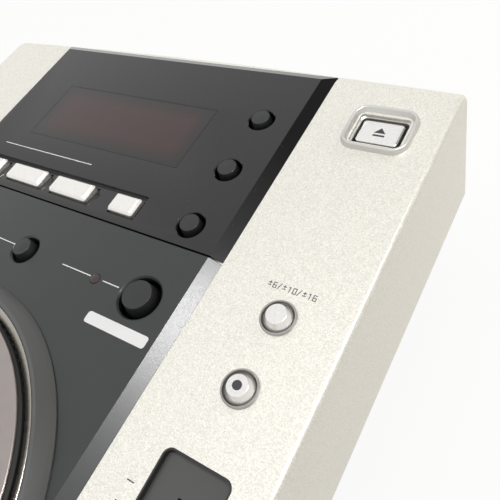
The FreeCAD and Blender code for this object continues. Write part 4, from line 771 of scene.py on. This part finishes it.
@dataclass
class RoundKey:
    """A round key cap: a tapered side and a slightly domed top. The side has its own finish, darker than the
    top as painted shade.
    """

    node: str
    x: float
    v: float
    radius: float
    top: float
    slot: Slot
    # The side's finish: a darker copy of the top's, painted shade.
    side: Slot
    taper: float = 0.5
    edge: float = 0.3
    crown: float = 0.1
    base: float = -3.0
    shoulder: float = 0.4

    def build(self) -> None:
        """Make the cap."""
        cap = Form(self.slot, self.side)
        face = self.radius - self.taper
        wall = [(self.radius, self.base), (self.radius, self.shoulder), (face, self.top - self.edge * 0.6)]
        # The side faces take the second finish, the painted shade.
        cap.lathe(self.x, self.v, eased(wall, self.edge), 64, slot=1, high=False)
        rim = eased([wall[-1], (face - self.edge * 0.2, self.top), (face - self.edge * 1.6, self.top)],
                    self.edge, 4)
        flat = rim[-1][0]
        dome = [(flat * f, self.top + self.crown * (1 - f * f)) for f in (0.75, 0.5, 0.25, 0.0)]
        cap.lathe(self.x, self.v, rim + dome, 64, low=False)
        cap.piece(self.node.replace("_button", "") + "_cap", body_of(self.node), angle=50.0,
                  nodes=(self.node,))


@dataclass
class SilverKey(RoundKey):
    """A silver round key: a small pale top and a wide slope painted grey as shade. The small size is the
    default.
    """

    radius: float = 4.2
    top: float = 2.6
    slot: Slot = Slot.SILVER_KEY
    # The slope's finish, painted darker as shade.
    side: Slot = Slot.CAP_SIDE_SHADE
    taper: float = 1.2
    edge: float = 0.6
    crown: float = 0.12


@dataclass
class KeyField:
    """The small keys of the two panels."""

    side_x: float = 50.0
    side_v: tuple[float, ...] = (24.7, 47.8, 70.9)
    side_r: float = 3.6
    side_top: float = 3.5
    bar_v: float = 71.4
    bar_depth: float = 7.3
    bar_top: float = 4.0
    bar_slope: float = 1.0
    bar_x: tuple[float, ...] = (-52.5, -27.7, -2.9, 22.9)
    bar_long: float = 18.9
    bar_short: float = 11.0
    loop_v: float = 98.0
    loop_big_r: float = 5.4
    loop_small_r: float = 4.0
    loop_top: float = 4.0
    loop_x: tuple[float, ...] = (-55.2, -29.1, -2.7, 49.2)

    def build(self) -> None:
        """Make every key cap."""
        # The second finish, for the keys' sides, is painted shade.
        black = (Slot.BLACK_KEY, Slot.KEY_SIDE_SHADE)
        sides = ("display_text_button", "display_time_button", "auto_cue_button")
        for node, v in zip(sides, self.side_v):
            RoundKey(node, self.side_x, v, self.side_r, self.side_top, *black, taper=0.4).build()
        loops = ("loop_in_button", "loop_out_button", "reloop_button", "beat_loop_button")
        for node, x in zip(loops, self.loop_x):
            radius = self.loop_small_r if node == "reloop_button" else self.loop_big_r
            RoundKey(node, x, self.loop_v, radius, self.loop_top, *black, taper=0.75, crown=0.15).build()
        bars = ("effect_button_1", "effect_button_2", "effect_button_3", "effect_hold_button")
        for node, x in zip(bars, self.bar_x):
            self.bar(node, x, self.bar_short if "hold" in node else self.bar_long)

    def bar(self, node: str, x: float, width: float) -> None:
        """A pale bar key with sloped edges; its sides are painted dark grey as shade.

        Args:
            node: the solid that it stands for.
            x: its middle.
            width: its size across.
        """
        cap = Form(Slot.WHITE_KEY, Slot.WHITE_SIDE_SHADE)
        low = self.bar_top - self.bar_slope
        side = eased([(0.0, -3.0), (0.0, low), (self.bar_slope * 0.62, self.bar_top - 0.3)], 0.3, 3)
        # The sides take the second finish, painted dark grey as shade.
        cap.block(x, self.bar_v, width, self.bar_depth, 1.0, side, 1, high=False)
        top = eased([side[-1], (self.bar_slope * 0.9, self.bar_top), (self.bar_slope + 1.2, self.bar_top)],
                    0.35, 3)
        cap.block(x, self.bar_v, width, self.bar_depth, 1.0, top, 0, low=False)
        cap.piece(node.replace("_button", "") + "_bar_cap", body_of(node), nodes=(node,))


@dataclass
class JogDial:
    """The ring round the dial, the bright trim, the wheel with its ribs and the top plate."""

    x: float = -3.0
    sections: int = 160
    v: float = 182.3
    radius: float = 61.8
    plate_r: float = 61.4
    plate_top: float = 7.25
    ribs: int = 120
    rib: tuple[float, float, float] = (0.4, 1.2, 2.6)
    grip_h: float = 3.0

    def build(self) -> None:
        """Make the dial's pieces."""
        self.rings()
        self.wheel()
        self.grip()

    def rings(self) -> None:
        """The fixed rings."""
        surround = Form(Slot.SURROUND, Slot.RING_SIDE_SHADE)
        section = eased([(69.5, 3.3), (69.1, 3.9), (66.6, 7.0), (65.3, 6.5), (65.3, 1.0)], 0.25, 3)
        surround.lathe(self.x, self.v, section, self.sections, low=False, high=False)
        # The surround's outer foot takes the second finish, painted near black as shade.
        foot = [section[-1], (69.9, 1.0), (69.9, 2.7), section[0]]
        surround.lathe(self.x, self.v, foot, self.sections, 1, low=False, high=False)
        surround.piece("jog_surround_ring", "case", angle=25.0, nodes=("jog_surround",))
        trim = Form(Slot.TRIM)
        section = eased([(65.2, 2.2), (65.2, 6.5), (62.8, 5.4), (62.5, 5.0), (62.5, 0.5)], 0.2, 3)
        trim.lathe(self.x, self.v, section, self.sections, closed=True)
        trim.piece("jog_bright_ring", "case", angle=40.0, nodes=("jog_trim_ring",))

    def wheel(self) -> None:
        """The wheel and its top plate."""
        # The wheel's body is painted near black as shade.
        refined("jog_wheel", "jog_wheel_body", Slot.RING_SIDE_SHADE, 0.2)
        plate = Form(Slot.PLATE)
        rim = eased([(self.plate_r - 0.5, 6.2), (self.plate_r, 6.5), (self.plate_r, self.plate_top),
                     (self.plate_r - 3.0, self.plate_top)], 0.45, 4)
        dish = [(58.0, self.plate_top), (40.0, self.plate_top - 0.05), (0.0, self.plate_top - 0.1)]
        plate.lathe(self.x, self.v, rim + dish, self.sections)
        plate.piece("jog_top_plate", "jog_dial", angle=50.0, nodes=("jog_plate",))

    def grip(self) -> None:
        """Fine ribs round the wheel's rim, for the fingers."""
        grow = Growth("jog_grip_ribs")
        count = grow.size("Ribs", self.ribs)
        radius = grow.size("Radius", self.radius)
        rib = grow.size("Rib", self.rib)
        ring = grow.node("GeometryNodeMeshCircle", None, {"Vertices": count, "Radius": radius})
        place = grow.node("GeometryNodeInputPosition")
        turn = grow.node("FunctionNodeAlignRotationToVector", {"axis": "X"}, {"Vector": place})
        bar = grow.node("GeometryNodeMeshCube", None, {"Size": rib})
        copies = grow.node("GeometryNodeInstanceOnPoints", None,
                           {"Points": ring, "Instance": bar, "Rotation": turn})
        middle = grow.size("Middle", (self.x, -self.v, self.grip_h))
        placed = grow.node("GeometryNodeTransform", None, {"Geometry": copies, "Translation": middle})
        # The ribs are painted near black as shade.
        grow.piece(placed, "jog_dial", Slot.RING_SIDE_SHADE)


@dataclass
class RightColumn:
    """The eject key, the two tempo keys and the slider on the pale deck."""

    x: float = 89.5
    eject_v: float = 18.8
    eject_size: tuple[float, float] = (22.0, 18.5)
    eject_cap: tuple[float, float] = (13.5, 9.3)
    frame_corner: float = 5.0
    cap_corner: float = 1.2
    key_v: tuple[float, ...] = (88.2, 108.7)
    slide_v: float = 171.7
    tray_floor: float = -1.7
    knob: tuple[float, float] = (15.0, 13.0)
    knob_ribs: int = 3
    rib_pitch: float = 1.15
    rib_rise: float = 0.4

    def build(self) -> None:
        """Make the column's pieces."""
        frame_form = Form(Slot.FRAME)
        section = eased([(0.0, 0.0), (0.5, 1.8), (1.35, 1.8), (2.5, -1.0), (3.3, -1.3), (3.3, -2.4)], 0.3, 3)
        frame_form.block(self.x, self.eject_v, *self.eject_size, self.frame_corner,
                         section + [(0.0, -2.4), (0.0, 0.0)], low=False, high=False)
        frame_form.piece("eject_frame", "case", angle=50.0, nodes=("eject_bezel",))
        cap = Form(Slot.SILVER_KEY)
        side = eased([(0.0, -4.0), (0.0, -0.9), (2.0, -0.9)], 0.5, 4)
        cap.block(self.x, self.eject_v, *self.eject_cap, self.cap_corner, side)
        cap.piece("eject_cap", "eject_button", angle=50.0, nodes=("eject_button",))
        for node, v in zip(("tempo_range_button", "key_lock_button"), self.key_v):
            SilverKey(node, self.x, v).build()
        # The rings round the silver keys are painted darker grey as shade.
        refined("key_rings", "key_ring_set", Slot.KEY_RING, 0.0, 40.0)
        tray = refined("slider_plate", "slider_floor", Slot.FLOOR, 0.05)
        # Faces above the tray's floor, its walls and rim, get the darker finish as painted shade.
        recolour(tray, Slot.WALL, self.tray_floor)
        self.knob_piece()

    def knob_piece(self) -> None:
        """The slider's knob: a saddle with a line across it and ribs for the finger."""
        knob = Form(Slot.BLACK_KEY, Slot.WHITE_INK)
        width, length = self.knob
        knob.block(self.x, self.slide_v, width, length, 1.2,
                   eased([(0.0, 0.5), (0.4, 5.4), (1.6, 7.0), (2.6, 7.0)], 0.6, 3))
        knob.block(self.x, self.slide_v, width - 3.0, 1.0, 0.1, [(0.0, 6.0), (0.0, 7.2), (0.1, 7.25)], 1)
        for step in (-1, 1):
            for i in range(self.knob_ribs):
                v = self.slide_v + step * (1.6 + i * self.rib_pitch)
                rise = 0.35 + i * self.rib_rise
                rib = [(0.0, 6.0), (0.0, 6.9 + rise), (0.2, 7.1 + rise)]
                knob.block(self.x, v, width - 3.2, 0.75, 0.3, rib)
        knob.piece("slider_grip", "slider", nodes=("slider_knob",))


@dataclass
class LeftColumn:
    """The cue and play keys and the two pairs of small keys."""

    x: float = -90.5
    spacing: float = 18.0
    large_r: float = 10.5
    large_top: float = 3.2
    cue_v: float = 200.5
    play_v: float = 231.0
    track_v: float = 146.0
    search_v: float = 170.0

    def build(self) -> None:
        """Make the keys."""
        for node, v in (("cue_button", self.cue_v), ("play_button", self.play_v)):
            SilverKey(node, self.x, v, self.large_r, self.large_top, taper=1.4, edge=0.7, crown=0.3).build()
        for row, v in (("track", self.track_v), ("search", self.search_v)):
            for way, side in (("back", -0.5), ("next", 0.5)):
                SilverKey(f"{row}_{way}_button", self.x + side * self.spacing, v).build()


@dataclass
class Print:
    """Printed lines, ticks, symbols and numerals."""

    thick: float = 0.03
    sunk: float = 0.02
    line: float = 0.32
    panel: float = 2.2
    numbers_x: float = 82.0
    numbers_v: float = 78.8
    numbers_step: float = 1.5
    effect_line: tuple[float, float] = (-53.9, -3.8)
    effect_line_v: float = 59.5
    loop_lines: tuple[tuple[float, float], ...] = ((-22.6, -8.2), (16.0, 28.7), (34.2, 40.7))
    loop_line_v: float = 97.7
    pill: tuple[float, float, float, float, float] = (48.4, -109.0, 23.2, 3.6, 0.9)
    eject_x: float = 89.5
    eject_top: float = -0.9
    eject_half: float = 1.9
    dot_v: float = 108.7
    dot_r: float = 1.25
    ticks: int = 13
    tick_pitch: float = 5.0
    tick: tuple[float, float, float] = (2.2, 0.3, 0.05)
    tick_first: tuple[float, float, float] = (76.0, -138.7, 0.01)

    def build(self) -> None:
        """Make the marks, one piece for each body that carries some."""
        self.panel_marks()
        self.deck_marks()
        self.tempo_numbers()
        self.tempo_scale()

    def panel_marks(self) -> None:
        """White marks on the two panels."""
        low = self.panel - self.sunk
        high = self.panel + self.thick
        ink = Form(Slot.WHITE_INK)
        ink.stroke([(x, self.effect_line_v) for x in self.effect_line], self.line, low, high)
        for ends in self.loop_lines:
            ink.stroke([(x, self.loop_line_v) for x in ends], self.line, low, high)
        ink.plate([(p.x, -p.y) for p in rounded(*self.pill, 0.0)], low, high)
        ink.piece("panel_print", "case")

    def deck_marks(self) -> None:
        """Dark marks on the pale deck and keys."""
        ink = Form(Slot.DARK_INK)
        top = self.eject_top + self.thick
        low = top - 0.05
        left = self.eject_x - self.eject_half
        right = self.eject_x + self.eject_half
        ink.plate([(left, 19.1), (right, 19.1), (self.eject_x, 16.9)], low, top)
        ink.plate([(left, 19.8), (right, 19.8), (right, 20.5), (left, 20.5)], low, top)
        ink.piece("eject_symbol", "eject_button")
        dot = Form(Slot.DARK_INK)
        dot.lathe(self.eject_x, self.dot_v, [(self.dot_r, 2.7), (self.dot_r, 2.89)], 32)
        dot.piece("key_lock_dot", "key_lock_button")

    def tempo_numbers(self) -> None:
        """The tempo range key's three ranges, in plain strokes."""
        ink = Form(Slot.DARK_INK)
        shapes = {
            "+": (((0.0, 0.4), (0.8, 0.4)), ((0.4, 0.0), (0.4, 0.8)), ((0.0, 1.2), (0.8, 1.2))),
            "0": (((0.0, 0.0), (0.9, 0.0), (0.9, 1.6), (0.0, 1.6), (0.0, 0.0)),),
            "1": (((0.2, 0.2), (0.5, 0.0), (0.5, 1.6)),),
            "6": (((0.9, 0.0), (0.0, 0.0), (0.0, 1.6), (0.9, 1.6), (0.9, 0.8), (0.0, 0.8)),),
            "/": (((0.0, 1.7), (0.7, -0.1)),),
        }
        x = self.numbers_x
        for sign in "+6/+10/+16":
            for run in shapes[sign]:
                ink.stroke([(x + dx, self.numbers_v + dv) for dx, dv in run], 0.22, 0.0, self.thick)
            x += self.numbers_step
        ink.piece("tempo_range_print", "case")

    def tempo_scale(self) -> None:
        """A row of ticks beside the slider."""
        grow = Growth("tempo_ticks")
        count = grow.size("Ticks", self.ticks)
        pitch = grow.size("Pitch", (0.0, -self.tick_pitch, 0.0))
        start = grow.size("First", self.tick_first)
        tick = grow.size("Tick", self.tick)
        line = grow.node("GeometryNodeMeshLine", None,
                         {"Count": count, "Start Location": start, "Offset": pitch})
        mark = grow.node("GeometryNodeMeshCube", None, {"Size": tick})
        copies = grow.node("GeometryNodeInstanceOnPoints", None, {"Points": line, "Instance": mark})
        grow.piece(copies, "case", Slot.DARK_INK)


@dataclass
class Insides:
    """The solids that stay as they are, each with its finish, and the fittings of the rear."""

    socket_arris: float = 0.1
    inlet_arris: float = 0.2
    key_arris: float = 0.4

    def build(self) -> None:
        """Give each remaining solid a finish."""
        groups = {
            Slot.STEEL: ("jog_shaft", "loader_cover", "clamp_arm", "drive_frame", "drive_motors",
                         "lead_screw", "roller_arm", "loading_motor"),
            Slot.MOULDING: ("jog_well", "slider_unit", "loader_chassis", "clamper", "pickup_sled",
                            "turntable", "display_module"),
            Slot.BOARD: ("key_boards", "main_board", "power_supply"),
            Slot.RUBBER: ("feed_roller",),
        }
        for slot, nodes in groups.items():
            for node in nodes:
                solid = frame["nodes"][node]
                solid.data.materials.clear()
                solid.data.materials.append(slot.material())
        refined("rear_sockets", "rear_socket_set", Slot.BRASS, self.socket_arris)
        refined("power_inlet", "power_inlet_shell", Slot.SOCKET, self.inlet_arris)
        refined("power_button", "power_key_cap", Slot.MOULDING, self.key_arris)


@dataclass(frozen=True)
class Lamp:
    """A soft square lamp that points at the player, placed in metres.

    It may be kept from matt surfaces, by diffuse, or from reflections, by gloss.
    """

    name: str
    place: tuple[float, float, float]
    size: float
    watts: float
    diffuse: bool = True
    gloss: bool = True
    tint: tuple[float, float, float] = (1.0, 1.0, 1.0)

    def hang(self) -> None:
        """Put the lamp into the scene."""
        data = bpy.data.lights.new(self.name, "AREA")
        data.size = self.size
        data.energy = self.watts
        data.color = self.tint
        lamp = bpy.data.objects.new(self.name, data)
        bpy.context.scene.collection.objects.link(lamp)
        lamp.location = self.place
        lamp.visible_diffuse = self.diffuse
        lamp.visible_glossy = self.gloss
        ray = Vector((0.0, 0.0, LAMP_TARGET_H)) - Vector(self.place)
        lamp.rotation_euler = ray.to_track_quat("-Z", "Y").to_euler()


@dataclass
class Studio:
    """The floor, the surroundings, the lamps and the camera."""

    eye: tuple[float, float, float] = (143.55, 130.42, 118.0)
    aim: tuple[float, float, float] = (-0.48025, 0.38979, -0.78577)
    roll: float = math.radians(26.45)
    focal_px: float = 522.03
    sensor: float = 36.0
    fill: float = 0.33
    dark_wall: tuple[float, float, float] = (0.27, 0.66, 0.70)
    wall_edge: float = 0.90
    wall_blur: float = 12.0
    wall_depth: float = 0.93
    floor_half: float = 4.0
    floor_glow: float = 0.93
    lamps: tuple[Lamp, ...] = (
        Lamp("top_softbox", (-0.25, -0.2, 1.2), 1.0, 10.5, gloss=False),
        Lamp("side_fill", (0.42, 0.5, 0.3), 0.25, 1.1, gloss=False, tint=(1.0, 0.94, 0.84)),
        Lamp("window_glint", (0.53, 0.20, 1.18), 0.2, 13.0, diffuse=False),
    )

    def build(self) -> None:
        """Make the camera first, then the rest."""
        self.camera()
        self.floor()
        self.world()
        for lamp in self.lamps:
            lamp.hang()

    def camera(self) -> None:
        """The camera at the photograph's place, over the right of the deck."""
        lens = bpy.data.cameras.new("photo_camera")
        lens.sensor_width = self.sensor
        lens.lens = self.focal_px / IMAGE_SIDE * self.sensor
        lens.clip_start = 0.01
        camera = bpy.data.objects.new("photo_camera", lens)
        bpy.context.scene.collection.objects.link(camera)
        forward = DECK.direction(*self.aim)
        up = DECK.direction(0.0, 0.0, 1.0)
        level = forward.cross(up).normalized()
        down = forward.cross(level).normalized()
        right = level * math.cos(self.roll) + down * math.sin(self.roll)
        top = right.cross(forward)
        turn = Matrix((right, top, -forward)).transposed().to_4x4()
        camera.matrix_world = Matrix.Translation(DECK.point(*self.eye)) @ turn
        bpy.context.scene.camera = camera

    def floor(self) -> None:
        """A wide pale floor that keeps the object's shadow."""
        form = bmesh.new()
        bmesh.ops.create_grid(form, x_segments=1, y_segments=1, size=self.floor_half)
        mesh = bpy.data.meshes.new("floor")
        form.to_mesh(mesh)
        form.free()
        floor = link("floor", mesh)
        paint = Paint("pale_floor")
        seen = self.seen_rays(paint)
        grain = paint.noise(40.0, 3.0)
        cloth = paint.node("ShaderNodeBsdfDiffuse", None,
                           {"Color": paint.blend(grain, (0.84, 0.80, 0.72), (0.88, 0.84, 0.76))})
        glow = paint.node("ShaderNodeEmission", None, {"Color": (1.0, 1.0, 1.0, 1.0), "Strength": 1.0})
        mixed = paint.node("ShaderNodeMixShader", None, {0: seen * self.floor_glow, 1: cloth, 2: glow})
        paint.node("ShaderNodeOutputMaterial", None, {"Surface": mixed})
        mesh.materials.append(paint.material)

    @staticmethod
    def seen_rays(tree: Tree) -> Wire:
        """One for rays from the camera, gloss and clear pieces, else zero."""
        path = tree.node("ShaderNodeLightPath")
        return (path["Is Camera Ray"] + path["Is Glossy Ray"] + path["Is Transmission Ray"]).clamped()

    def world(self) -> None:
        """Surroundings that look white and light the object at a plain level."""
        world = bpy.data.worlds.new("studio")
        world.use_nodes = True
        bpy.context.scene.world = world
        sky = Tree(world.node_tree)
        seen = self.seen_rays(sky)
        gloss = sky.node("ShaderNodeLightPath")["Is Glossy Ray"]
        look = sky.node("ShaderNodeTexCoord")["Generated"]
        near = sky.node("ShaderNodeVectorMath", {"operation": "DOT_PRODUCT"},
                        {0: look, 1: Vector(self.dark_wall).normalized()})["Value"]
        wall = ((near - self.wall_edge) * self.wall_blur).clamped() * gloss
        level = (self.fill + seen * (1.0 - self.fill)) * (1.0 - wall * self.wall_depth)
        glow = sky.node("ShaderNodeBackground", None, {"Color": (1.0, 1.0, 1.0, 1.0), "Strength": level})
        sky.node("ShaderNodeOutputWorld", None, {"Surface": glow})


def corners(box: object) -> list[list[float]]:
    """A box as plain lists of numbers."""
    return [[float(n) for n in corner] for corner in box]


def main() -> None:
    """Build the studio and every sub-assembly in order."""
    logging.basicConfig(level=logging.INFO, format="%(message)s")
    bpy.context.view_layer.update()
    bpy.context.scene.view_settings.view_transform = "Standard"
    for part in (Studio(), CaseShell(), DisplayPanel(), JogPanel(), KeyField(), JogDial(), RightColumn(),
                 LeftColumn(), Print(), Insides()):
        part.build()
        log.info("%s is built", type(part).__name__)


if __name__ == "__main__":
    main()
